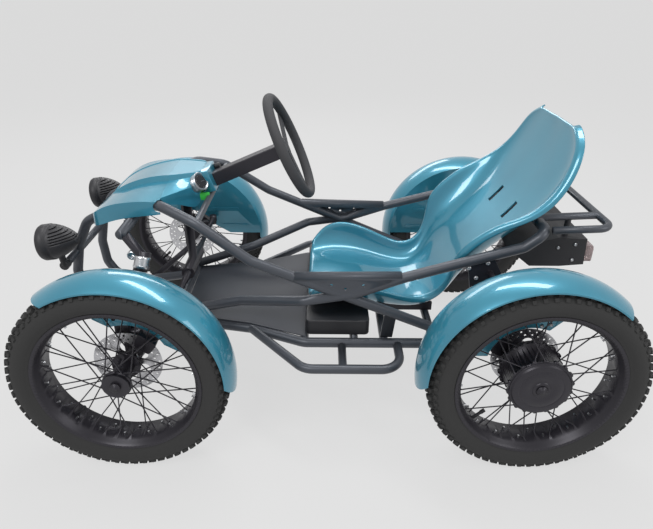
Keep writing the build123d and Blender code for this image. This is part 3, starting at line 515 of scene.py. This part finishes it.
def spun_profile(shape: bmesh.types.BMesh, centre: Vector, axis: Vector,
                 profile: tuple[tuple[float, float], ...], steps: int = 48) -> None:
    """Spin a profile about an axis into a bmesh.

    Args:
        shape: the bmesh that takes the turned form.
        centre: point on the axis from which the offsets are measured.
        axis: direction of the axis.
        profile: pairs of radius and offset along the axis.
        steps: number of steps round the axis.
    """
    axis = axis.normalized()
    across = axis.orthogonal().normalized()
    points = [shape.verts.new(centre + across * radius + axis * offset) for radius, offset in profile]
    edges = [shape.edges.new(pair) for pair in zip(points, points[1:])]
    bmesh.ops.spin(shape, geom=points + edges, cent=centre, axis=axis, angle=math.tau, steps=steps,
                   use_merge=True)
    bmesh.ops.remove_doubles(shape, verts=shape.verts, dist=1e-6)


def soften(piece: bpy.types.Object, levels: int = 2) -> None:
    """Add a subdivision surface with equal levels in view and render.

    Args:
        piece: the piece to smooth.
        levels: number of subdivisions.
    """
    smooth = piece.modifiers.new("smooth", "SUBSURF")
    smooth.levels = levels
    smooth.render_levels = levels


def thicken(piece: bpy.types.Object, wall: float) -> None:
    """Give a sheet its wall, laid on the back of its faces.

    Args:
        piece: the open sheet.
        wall: its thickness, in metres.
    """
    solid = piece.modifiers.new("wall", "SOLIDIFY")
    solid.thickness = wall
    solid.offset = -1.0
    solid.use_rim = True


def bake_modifiers(piece: bpy.types.Object) -> None:
    """Replace a piece's mesh by what its modifiers make of it.

    Args:
        piece: the piece, whose modifiers are then removed.
    """
    graph = bpy.context.evaluated_depsgraph_get()
    baked = bpy.data.meshes.new_from_object(piece.evaluated_get(graph))
    piece.modifiers.clear()
    piece.data = baked


def cut_away(piece: bpy.types.Object, shapes: list[bmesh.types.BMesh], crossing: bool = False) -> None:
    """Cut shapes out of a piece and bake it.

    Args:
        piece: the piece to cut, with any modifiers that come first.
        shapes: the closed shapes, which are freed.
        crossing: whether parts of one shape run through each other.
    """
    cutters = [plain_object("cutter", shape) for shape in shapes]
    for cutter in cutters:
        cut = piece.modifiers.new("cut", "BOOLEAN")
        cut.object = cutter
        cut.operation = "DIFFERENCE"
        cut.use_self = crossing
    bake_modifiers(piece)
    for cutter in cutters:
        bpy.data.objects.remove(cutter)


def bevel_edges(piece: bpy.types.Object, width: float, angle: float) -> None:
    """Round a piece's sharp edges and bake it.

    Args:
        piece: the piece.
        width: width of the bevel, in metres.
        angle: edges sharper than this, in degrees, are rounded.
    """
    edge = piece.modifiers.new("edge", "BEVEL")
    edge.width = width
    edge.segments = 2
    edge.angle_limit = math.radians(angle)
    edge.harden_normals = True
    bake_modifiers(piece)


@dataclass
class Tyre:
    """Wide knobbly tyre, spun from its section, with rows of tread blocks."""

    axle: Vector
    name: str
    body: str
    node: str
    radius: float = TYRE_RADIUS
    half_width: float = 0.053
    bead_radius: float = 0.204
    steps: int = 96
    pitches: int = 66
    # offset from the mid-plane, radial reach, length, width, height, tilt in degrees, phase
    block_rows: tuple[tuple[float, ...], ...] = (
        (0.0, -0.003, 0.013, 0.012, 0.007, 0.0, 0.0), (0.0165, -0.0035, 0.012, 0.0115, 0.007, 12.0, 0.5),
        (0.0325, -0.0075, 0.014, 0.0125, 0.0085, 30.0, 0.0),
        (0.0445, -0.0175, 0.0115, 0.011, 0.007, 58.0, 0.5))
    block_taper: float = 0.82
    block_sink: float = 0.1

    def section(self) -> list[tuple[float, float]]:
        """Work out the outer and inner profile of the carcass.

        Returns:
            The profile as radius and offset from the mid-plane.
        """
        bead, crown, half = self.bead_radius, self.radius - 0.006, self.half_width - 0.001
        outer = [(bead, 0.041), (bead + 0.0065, 0.0412), (bead + 0.014, 0.046), (bead + 0.024, half - 0.001),
                 (bead + 0.034, half), (bead + 0.045, half - 0.002), (crown - 0.014, 0.045),
                 (crown - 0.007, 0.035), (crown - 0.002, 0.019), (crown, 0.0)]
        inner = [(bead, 0.034), (bead + 0.012, 0.037), (bead + 0.032, 0.045), (crown - 0.02, 0.038),
                 (crown - 0.011, 0.018), (crown - 0.009, 0.0)]
        mirrored = [(r, -y) for r, y in reversed(outer[:-1])]
        back = [(r, -y) for r, y in inner] + [(r, y) for r, y in reversed(inner[:-1])]
        return outer + mirrored + back

    def add_blocks(self, shape: bmesh.types.BMesh) -> None:
        """Stand the tread blocks on the crown and the shoulders.

        Args:
            shape: the bmesh of the carcass.
        """
        for offset, reach, length, width, height, tilt, phase in self.block_rows:
            for side in ((1,) if offset == 0.0 else (1, -1)):
                for pitch in range(self.pitches):
                    turn = math.tau * (pitch + phase) / self.pitches
                    made = bmesh.ops.create_cube(shape, size=1.0)
                    for vertex in made["verts"]:
                        taper = self.block_taper if vertex.co.z > 0 else 1.0
                        vertex.co = Vector((vertex.co.x * length * taper, vertex.co.y * width * taper,
                                            vertex.co.z * height))
                    lean = Matrix.Rotation(math.radians(-tilt * side), 4, "X")
                    middle = self.radius + reach - height * self.block_sink
                    out = Matrix.Translation((0, offset * side, middle))
                    spin = Matrix.Rotation(turn, 4, "Y")
                    place = Matrix.Translation(self.axle) @ spin @ out @ lean
                    bmesh.ops.transform(shape, matrix=place, verts=made["verts"])

    def build(self) -> bpy.types.Object:
        """Spin the carcass, add the blocks and stand in for the construction tyre.

        Returns:
            The tyre.
        """
        shape = bmesh.new()
        points = [shape.verts.new(self.axle + Vector((0, y, r))) for r, y in self.section()]
        edges = [shape.edges.new((a, b)) for a, b in zip(points, points[1:] + points[:1])]
        bmesh.ops.spin(shape, geom=points + edges, cent=self.axle, axis=(0, 1, 0), angle=math.tau,
                       steps=self.steps, use_merge=True)
        bmesh.ops.remove_doubles(shape, verts=shape.verts, dist=1e-6)
        self.add_blocks(shape)
        piece = closed_piece(self.name, shape, Slot.TYRE_RUBBER, self.body, angle=38.0)
        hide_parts(self.node)
        return piece


@dataclass
class Seat:
    """Bucket seat: one moulded shell with thigh wings, lumbar wings and a rounded head."""

    body: str = "chassis"
    wall: float = 0.004
    # place, size and turn in degrees of the bar that cuts a belt slot
    slot_place: tuple[float, float, float] = (0.526, 0.066, 0.571)
    slot_size: tuple[float, float, float] = (0.060, 0.017, 0.06)
    slot_turn: float = -52.0
    # spine x, spine z, rim x, rim z, floor half width, rim half width, all in millimetres
    sections: tuple[tuple[float, ...], ...] = (
        (-57, 322, -50, 350, 118, 166), (-10, 326, -16, 392, 138, 194), (40, 325, 35, 411, 145, 203),
        (105, 316, 97, 404, 145, 200), (175, 297, 170, 374, 140, 188), (245, 286, 252, 340, 132, 170),
        (300, 299, 305, 360, 130, 176), (340, 338, 332, 404, 132, 190), (372, 398, 340, 458, 136, 203),
        (412, 452, 347, 508, 142, 211), (455, 498, 385, 552, 150, 216), (508, 551, 440, 597, 158, 224),
        (548, 600, 508, 624, 160, 234), (583, 660, 566, 666, 164, 224), (612, 722, 603, 722, 152, 206),
        (630, 776, 622, 775, 128, 188), (637, 808, 632, 806, 104, 160), (640, 830, 638, 829, 70, 108),
    )
    # share of the way from floor edge to rim edge, share of the rim's height
    wall_corners: tuple[tuple[float, float], ...] = ((0.0, 0.03), (0.45, 0.16), (0.78, 0.48), (0.93, 0.8))
    # outwards and up from the rim's edge, in millimetres
    rolled_rim: tuple[tuple[float, float], ...] = ((0, 0), (6, -1), (11, -5), (13, -15))

    def row(self, section: tuple[float, ...]) -> list[Vector]:
        """Work out one section, from the left flange over the floor to the right one.

        Args:
            section: a line of the table of sections.

        Returns:
            The section's points.
        """
        spine_x, spine_z, rim_x, rim_z, floor, width = section
        rise = Vector((rim_x - spine_x, 0, rim_z - spine_z))
        height = rise.length
        up = rise.normalized()
        right = [(floor * 0.5, 0.0)]
        right += [(floor + share * (width - floor), part * height) for share, part in self.wall_corners]
        right += [(width + out, height + lift) for out, lift in self.rolled_rim]
        both = [(-y, h) for y, h in reversed(right)] + [(0.0, -2.0)] + right
        return [(Vector((spine_x, y, spine_z)) + up * h) * MM for y, h in both]

    def slot_bars(self) -> bmesh.types.BMesh:
        """Lay the bars that cut the two belt slots.

        Returns:
            The bars.
        """
        shape = bmesh.new()
        x, y, z = self.slot_place
        turn = Matrix.Rotation(math.radians(self.slot_turn), 4, "Y")
        for side in (-1, 1):
            made = bmesh.ops.create_cube(shape, size=1.0)
            bmesh.ops.scale(shape, vec=self.slot_size, verts=made["verts"])
            place = Matrix.Translation((x, side * y, z)) @ turn
            bmesh.ops.transform(shape, matrix=place, verts=made["verts"])
        return shape

    def build(self) -> bpy.types.Object:
        """Bend the shell, smooth it, cut the belt slots and stand in for the construction seat.

        Returns:
            The seat.
        """
        shape = sheet_through([self.row(section) for section in self.sections])
        piece = closed_piece("seat_shell", shape, Slot.BODY_PAINT, self.body)
        soften(piece)
        thicken(piece, self.wall)
        cut_away(piece, [self.slot_bars()])
        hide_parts("seat")
        return piece


@dataclass
class Hood:
    """Bent-sheet hood with a raised deck between two ridges, a tapering neck and a dash box."""

    body: str = "chassis"
    wall: float = 0.0028
    # width of the bevel on a fold, and the turn in degrees past which an edge is one
    fold: float = 0.0011
    fold_angle: float = 24.0
    # steps from one section to the next
    steps: int = 4
    # x behind the axle, half width, skirt low, skirt top, ridge half, deck, ridge step, in millimetres
    sections: tuple[tuple[float, ...], ...] = (
        (-130, 134, 567, 588, 44, 586, 3), (-122, 160, 565, 596, 50, 594, 4),
        (-108, 174, 567, 607, 58, 606, 6), (-84, 180, 576, 621, 66, 627, 9),
        (-52, 184, 587, 632, 69, 645, 12), (-16, 186, 595, 638, 71, 659, 13),
        (18, 187, 600, 641, 73, 668, 14), (46, 188, 603, 641, 75, 673, 14), (71, 188, 606, 641, 78, 676, 14))
    neck: tuple[tuple[float, ...], ...] = (
        (71, 170, 628, 645, 78, 676, 14), (105, 124, 608, 645, 70, 677, 12), (140, 80, 584, 645, 58, 678, 8),
        (155, 62, 600, 654, 46, 678, 5))
    # side profile of the dash box, as x behind the axle and z
    dash: tuple[tuple[float, float], ...] = ((147, 676), (175, 680), (196.5, 620), (167, 613))
    dash_half: float = 0.0495
    dash_bevel: float = 0.0025
    # route of the frame's top rail under the hood's edge, in millimetres, and the notch round it
    rail: tuple[tuple[float, float, float], ...] = ((-520, 100, 611), (-432, 203, 631), (-340, 245, 605))
    notch_radius: float = 0.0165
    notch_reach: float = 0.008

    def row(self, section: list[float]) -> list[Vector]:
        """Work out one section, from the left skirt over the deck to the right one.

        Args:
            section: a line of a table of sections, or one between two.

        Returns:
            The section's points.
        """
        x, half, low, top, ridge, deck, step = section
        foot = min(ridge + 5, half - 12)
        shoulder = max(deck - step, top + 1)
        right = [(ridge * 0.5, deck - 1.0), (ridge - 7, deck - 0.6), (ridge - 5, deck + 1.5),
                 (ridge, deck + 1.5), (foot, shoulder), ((foot + half) / 2, (shoulder + top) / 2 + 0.5),
                 (half - 0.8, top), (half + 2, low)]
        both = [(-y, z) for y, z in reversed(right)] + [(0.0, deck - 0.5)] + right
        return [Vector((AXLES["front"] / MM + x, y, z)) * MM for y, z in both]

    def sheet(self, name: str, table: tuple[tuple[float, ...], ...]) -> bpy.types.Object:
        """Bend one sheet through its sections, give it a wall and notch it for the frame's rails.

        Args:
            name: the piece's name.
            table: the sheet's sections.

        Returns:
            The sheet.
        """
        shape = sheet_through([self.row(section) for section in blended_rows(table, self.steps)])
        bmesh.ops.recalc_face_normals(shape, faces=shape.faces)
        if sum(face.normal.z for face in shape.faces) < 0:
            bmesh.ops.reverse_faces(shape, faces=shape.faces)
        piece = new_piece(name, shape, Slot.BODY_PAINT, self.body, self.fold_angle)
        thicken(piece, self.wall)
        cut_away(piece, [self.rail_notch(side) for side in Side], crossing=True)
        bevel_edges(piece, self.fold, self.fold_angle)
        return piece

    def rail_notch(self, side: Side) -> bmesh.types.BMesh:
        """Lay the room that one top rail of the frame takes in the hood.

        Args:
            side: the rail's side.

        Returns:
            Rods along the rail, a little wider than it.
        """
        shape = bmesh.new()
        radius, reach = self.notch_radius, self.notch_reach
        path = [Vector((x, side.value * y, z)) * MM for x, y, z in self.rail]
        for start, end in zip(path, path[1:]):
            far = (end - start).length + reach
            profile = ((0.0, -reach), (radius, -reach), (radius, far), (0.0, far))
            spun_profile(shape, start, end - start, profile, 24)
        bmesh.ops.recalc_face_normals(shape, faces=shape.faces)
        return shape

    def dash_box(self) -> bpy.types.Object:
        """Extrude the dash box from its side profile and bevel its edges.

        Returns:
            The dash box.
        """
        shape = bmesh.new()
        front = AXLES["front"] / MM
        face = shape.faces.new([shape.verts.new(Vector((front + x, 0, z)) * MM) for x, z in self.dash])
        made = bmesh.ops.extrude_face_region(shape, geom=[face])
        moved = [item for item in made["geom"] if isinstance(item, bmesh.types.BMVert)]
        for vertex in shape.verts:
            vertex.co.y = self.dash_half if vertex in moved else -self.dash_half
        bmesh.ops.recalc_face_normals(shape, faces=shape.faces)
        bmesh.ops.bevel(shape, geom=shape.edges[:], offset=self.dash_bevel, segments=3, profile=0.5,
                        affect="EDGES", material=-1)
        return new_piece("dash_box", shape, Slot.BODY_PAINT, self.body)

    def build(self) -> None:
        """Make the deck, the neck and the dash box, which together stand in for the construction hood."""
        deck = self.sheet("hood_deck", self.sections)
        self.sheet("hood_neck", self.neck)
        self.dash_box()
        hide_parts("hood")


@dataclass
class ConstructionCopy:
    """Merged, bevelled and smoothly shaded stand-in for one construction node."""

    node: bpy.types.Object
    slot: Slot
    bevel: float = 0.0
    angle: float = 35.0
    merge: float = 3e-6
    # faces that turn less than this, in degrees, become one before the bevel
    flat: float = 0.6

    def build(self) -> bpy.types.Object:
        """Merge a copy of the node's mesh, bevel its sharp edges and stand in for it.

        Returns:
            The finished copy.
        """
        shape = bmesh.new()
        shape.from_mesh(self.node.data)
        bmesh.ops.remove_doubles(shape, verts=shape.verts, dist=self.merge)
        if self.bevel:
            bmesh.ops.dissolve_limit(shape, angle_limit=math.radians(self.flat), verts=shape.verts,
                                     edges=shape.edges)
        name = self.node.name
        piece = new_piece(f"{name}_finished", shape, self.slot, self.node["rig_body"], self.angle)
        if self.bevel:
            bevel_edges(piece, self.bevel, self.angle)
        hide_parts(name)
        return piece


@dataclass(frozen=True)
class Bolts:
    """Domed bolt heads with a round socket, alike on both flanks of the vehicle."""

    name: str
    # the body's name, in which {hand} stands for right or left
    body: str
    # distance from the vehicle's middle, and places as x and z, in millimetres
    out: float
    places: tuple[tuple[float, float], ...]
    radius: float = 0.0062
    height: float = 0.0042
    slot: Slot = Slot.ALLOY
    # the head's outline, as shares of its radius and of its height
    dome: tuple[tuple[float, float], ...] = (
        (0.0, 0.35), (0.42, 0.35), (0.46, 0.95), (0.62, 1.0), (0.86, 0.72), (0.98, 0.3), (1.0, -0.1),
        (0.0, -0.1))
    steps: int = 12

    def build(self, side: Side) -> bpy.types.Object:
        """Spin one head at each place on one side.

        Args:
            side: the vehicle's side.

        Returns:
            The heads, as one piece.
        """
        shape = bmesh.new()
        hand = side.name.lower()
        profile = tuple((out * self.radius, up * self.height) for out, up in self.dome)
        for x, z in self.places:
            centre = Vector((x, side.value * self.out, z)) * MM
            spun_profile(shape, centre, Vector((0, side.value, 0)), profile, self.steps)
        return closed_piece(f"{self.name}_{hand}", shape, self.slot, self.body.format(hand=hand))


BOLTS = (
    Bolts("axle_nut", "front_wheel_{hand}", 479.0, ((-520, 275),), radius=0.0115, height=0.008),
    Bolts("rear_plate_bolts", "chassis", 250.0, ((374, 483), (422, 498), (396, 453))),
    Bolts("rear_panel_bolts", "chassis", 377.0, ((539, 388), (561, 392)), radius=0.0055),
    Bolts("tray_bolts", "chassis", 190.0, ((627, 515), (672, 478), (672, 525)), radius=0.005),
    Bolts("front_panel_bolts", "knuckle_{hand}", 377.0, ((-583, 408), (-563, 404), (-543, 400)),
          radius=0.0055, slot=Slot.BLACK_METAL),
)


@dataclass
class WheelTrim:
    """Spoke nipples round the rim's well and a valve stem."""

    name: str
    body: str
    axle: Vector
    count: int = 36
    well_radius: float = 0.1955
    row_offset: float = 0.012
    nipple_length: float = 0.012
    nipple_radius: float = 0.0026
    # turn in degrees of the valve, and its parts as outer radius, inner radius and half thickness
    valve_angle: float = 223.6
    valve_parts: tuple[tuple[float, float, float], ...] = ((0.197, 0.166, 0.0042), (0.168, 0.156, 0.0052))

    def rod(self, shape: bmesh.types.BMesh, start: Vector, end: Vector, radius: float, sides: int) -> None:
        """Lay a thin closed rod between two points."""
        length = (end - start).length
        profile = ((0.0, 0.0), (radius, 0.0), (radius, length), (0.0, length))
        spun_profile(shape, start, end - start, profile, sides)

    def radial(self, turn: float, radius: float, offset: float) -> Vector:
        """Point at an angle, a radius and an offset from the wheel's mid-plane."""
        return self.axle + Vector((math.cos(turn) * radius, offset, math.sin(turn) * radius))

    def build(self) -> None:
        """Lay the nipples and the valve."""
        shape = bmesh.new()
        for step in range(self.count):
            turn = math.tau * (step + 0.5) / self.count
            offset = self.row_offset * (1 if step % 2 else -1)
            inner = self.radial(turn, self.well_radius - self.nipple_length, offset)
            self.rod(shape, self.radial(turn, self.well_radius, offset), inner, self.nipple_radius, 6)
        closed_piece(f"{self.name}_nipples", shape, Slot.ALLOY, self.body)
        shape = bmesh.new()
        turn = math.radians(self.valve_angle)
        for far, near, radius in self.valve_parts:
            self.rod(shape, self.radial(turn, far, 0.0), self.radial(turn, near, 0.0), radius, 12)
        closed_piece(f"{self.name}_valve", shape, Slot.BLACK_PLASTIC, self.body)


@dataclass
class MotorCover:
    """Turned outer cover of a rear hub motor, with a dished ring and a raised boss."""

    name: str
    body: str
    axle: Vector
    side: Side
    # radius and offset from the wheel's mid-plane
    profile: tuple[tuple[float, float], ...] = (
        (0.0770, 0.0370), (0.0775, 0.0395), (0.0765, 0.0412), (0.0735, 0.0420), (0.0722, 0.0440),
        (0.0705, 0.0460), (0.0670, 0.0468), (0.0560, 0.0470), (0.0545, 0.0462), (0.0530, 0.0462),
        (0.0515, 0.0470), (0.0330, 0.0472), (0.0300, 0.0462), (0.0230, 0.0462), (0.0215, 0.0480),
        (0.0150, 0.0484), (0.0140, 0.0475), (0.0125, 0.0475))

    def build(self) -> bpy.types.Object:
        """Spin the cover about the axle.

        Returns:
            The cover.
        """
        shape = bmesh.new()
        spun_profile(shape, self.axle, Vector((0, self.side.value, 0)), self.profile, 72)
        return closed_piece(self.name, shape, Slot.BLACK_METAL, self.body, 28.0)


@dataclass
class Gauge:
    """Round dash gauge: silver rim, black dial with ticks and a needle, and a green display below it."""

    body: str = "chassis"
    place: tuple[float, float, float] = (-0.370, -0.062, 0.650)
    facing: tuple[float, float, float] = (0.79, -0.37, 0.49)
    face: float = 0.012
    radius: float = 0.026
    # the rim's outline, as radius past the gauge's own and height over its face
    rim: tuple[tuple[float, float], ...] = (
        (0.0008, -0.004), (0.0012, 0.0), (0.0, 0.0016), (-0.002, 0.002), (-0.0042, 0.0008), (-0.0048, 0.0002))
    dial_inset: float = 0.0046
    dial_height: float = 0.0004
    # number of ticks, angle of the first and step between two in degrees, and how often one is long
    ticks: int = 25
    first_tick: float = -150.0
    tick_step: float = 12.5
    long_every: int = 4
    tick_inset: float = 0.0062
    needle_turn: float = -60.0
    # low corners of the display's face, the rise to its upper ones, and its depth
    display: tuple[tuple[float, float, float], ...] = ((-0.379, -0.066, 0.598), (-0.341, -0.066, 0.598))
    display_rise: tuple[float, float, float] = (0.0, 0.0, 0.022)
    display_depth: float = 0.010
    display_bevel: float = 0.0014

    def build(self) -> None:
        """Spin the rim and the dial, lay the marks and set the display."""
        axis = Vector(self.facing).normalized()
        front = Vector(self.place) + axis * self.face
        shape = bmesh.new()
        rim = tuple((self.radius + out, up) for out, up in self.rim)
        spun_profile(shape, front, axis, rim)
        closed_piece("gauge_rim", shape, Slot.ALLOY, self.body)
        shape = bmesh.new()
        height = self.dial_height
        spun_profile(shape, front, axis, ((0.0, height), (self.radius - self.dial_inset, height)))
        closed_piece("gauge_dial", shape, Slot.BLACK_PLASTIC, self.body)
        self.add_marks(front, axis)
        self.add_display()

    def bar(self, shape: bmesh.types.BMesh, place: Vector, reach: Vector, axis: Vector,
            size: tuple[float, float, float]) -> None:
        """Lay one flat bar on the dial.

        Args:
            shape: the bmesh that takes it.
            place: its middle.
            reach: its direction along the dial.
            axis: direction in which the dial faces.
            size: its length, width and thickness.
        """
        made = bmesh.ops.create_cube(shape, size=1.0)
        length, width, thick = size
        frame = Matrix((reach * length, axis.cross(reach) * width, axis * thick)).transposed().to_4x4()
        bmesh.ops.transform(shape, matrix=Matrix.Translation(place) @ frame, verts=made["verts"])

    def add_marks(self, front: Vector, axis: Vector) -> None:
        """Lay the ticks and the needle on the dial.

        Args:
            front: the middle of the dial.
            axis: direction in which it faces.
        """
        shape = bmesh.new()
        across = axis.orthogonal().normalized()
        for tick in range(self.ticks):
            turn = Matrix.Rotation(math.radians(self.first_tick + tick * self.tick_step), 4, axis)
            reach = (turn @ across).normalized()
            length = 0.0025 if tick % self.long_every else 0.0045
            place = front + axis * 0.0006 + reach * (self.radius - self.tick_inset - length / 2)
            self.bar(shape, place, reach, axis, (length, 0.0007, 0.0003))
        reach = (Matrix.Rotation(math.radians(self.needle_turn), 4, axis) @ across).normalized()
        self.bar(shape, front + axis * 0.0009 + reach * 0.006, reach, axis, (0.015, 0.001, 0.0004))
        closed_piece("gauge_marks", shape, Slot.ALLOY, self.body)

    def add_display(self) -> None:
        """Set the small green display under the gauge."""
        shape = bmesh.new()
        near, far = (Vector(corner) for corner in self.display)
        rise = Vector(self.display_rise)
        face = shape.faces.new([shape.verts.new(point) for point in (near, far, far + rise, near + rise)])
        made = bmesh.ops.extrude_face_region(shape, geom=[face])
        back = [item for item in made["geom"] if isinstance(item, bmesh.types.BMVert)]
        bmesh.ops.translate(shape, vec=(0, self.display_depth, 0), verts=back)
        bmesh.ops.recalc_face_normals(shape, faces=shape.faces)
        bmesh.ops.bevel(shape, geom=shape.edges[:], offset=self.display_bevel, segments=2, profile=0.5,
                        affect="EDGES", material=-1)
        piece = new_piece("gauge_display", shape, Slot.BLACK_PLASTIC, self.body)
        dress(piece, DISPLAY_GREEN.build())


@dataclass
class StrutFittings:
    """Silver collar at the head of a front strut, and the rod eye linked to it."""

    side: Side
    body: str = "chassis"
    # low and high ends of the strut's head lug, and its radius
    low: tuple[float, float, float] = (-0.4945, 0.2668, 0.4855)
    high: tuple[float, float, float] = (-0.4895, 0.2523, 0.5125)
    radius: float = 0.0190
    # half of the collar's outline, as radius past the lug's own and distance from the collar's end
    collar: tuple[tuple[float, float], ...] = (
        (-0.001, 0.0), (0.0012, 0.0), (0.002, 0.001), (0.002, 0.006), (0.0011, 0.0068))
    eye: tuple[float, float, float] = (-0.518, 0.250, 0.516)
    eye_profile: tuple[tuple[float, float], ...] = (
        (0.0, -0.007), (0.0105, -0.007), (0.0125, -0.005), (0.0125, 0.005), (0.0105, 0.007), (0.0072, 0.0072),
        (0.0066, 0.0045), (0.0, 0.0045))
    link_radius: float = 0.0055
    # distance from the eye's middle at which the link starts, and from the lug's at which it ends
    link_ends: tuple[float, float] = (0.002, 0.012)

    def mirrored(self, place: tuple[float, float, float]) -> Vector:
        """Point on this fitting's side of the vehicle."""
        return Vector((place[0], self.side.value * place[1], place[2]))

    def build(self) -> None:
        """Spin the collar round the lug, the eye beside it and the link between them."""
        start, end = self.mirrored(self.low), self.mirrored(self.high)
        length = (end - start).length
        half = [(self.radius + out, along) for out, along in self.collar]
        other = [(radius, length - along) for radius, along in reversed(half)]
        shape = bmesh.new()
        spun_profile(shape, start, end - start, (*half, *other, half[0]), 40)
        middle = self.mirrored(self.eye)
        spun_profile(shape, middle, Vector((0, self.side.value, 0)), self.eye_profile, 28)
        link = (start + end) / 2 - middle
        near, far = self.link_ends[0], link.length - self.link_ends[1]
        rod = ((0.0, near), (self.link_radius, near), (self.link_radius, far), (0.0, far))
        spun_profile(shape, middle, link, rod, 20)
        closed_piece(f"strut_fittings_{self.side.name.lower()}", shape, Slot.ALLOY, self.body)


@dataclass
class Bodywork:
    """Finished copies of the construction nodes, each in its record slot's finish."""

    frame: dict
    replaced: tuple[str, ...]
    # width of the bevel on sharp edges, in metres
    bevels: tuple[tuple[str, float], ...] = (
        ("front_fender_right", 0.0012), ("front_fender_left", 0.0012), ("rear_fender_right", 0.0012),
        ("rear_fender_left", 0.0012), ("battery_box", 0.003), ("rear_tray", 0.002), ("rear_plates", 0.001),
        ("seat_mount", 0.0008), ("steering_column", 0.002), ("front_caliper_right", 0.0012),
        ("front_caliper_left", 0.0012), ("rear_calipers", 0.0012), ("tail_lamps", 0.0015),
        ("floor_pan", 0.0008))

    def build(self) -> None:
        """Dress every construction node and give each that still shows its finished copy."""
        widths = dict(self.bevels)
        for row in self.frame["record"]["subparts"]:
            name = row["node"]
            slot = Slot(row["material_slot"])
            node = self.frame["nodes"][name]
            dress(node, FINISHES[slot].build())
            if name not in self.replaced:
                copy = ConstructionCopy(node, slot, widths.get(name, 0.0)).build()
                if name in NODE_LOOKS:
                    dress(copy, NODE_LOOKS[name].build())


def main() -> None:
    """Load the frame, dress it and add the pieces."""
    logging.basicConfig(level=logging.INFO, format="%(name)s: %(message)s")
    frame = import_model()
    Studio().build()
    tyres = tuple(f"{end}_tyre_{side.name.lower()}" for end in AXLES for side in Side)
    Bodywork(frame, tyres + ("seat", "hood")).build()
    for end, x in AXLES.items():
        for side in Side:
            label = f"{end}_%s_{side.name.lower()}"
            wheel = label % "wheel"
            axle = Vector((x, side.value * HALF_TRACK, TYRE_RADIUS))
            Tyre(axle, label % "tread_tyre", wheel, label % "tyre").build()
            WheelTrim(wheel, wheel, axle).build()
            if end == "rear":
                MotorCover(label % "motor_cover", wheel, axle, side).build()
    Seat().build()
    Hood().build()
    Gauge().build()
    for side in Side:
        StrutFittings(side).build()
        for bolts in BOLTS:
            bolts.build(side)


if __name__ == "__main__":
    main()
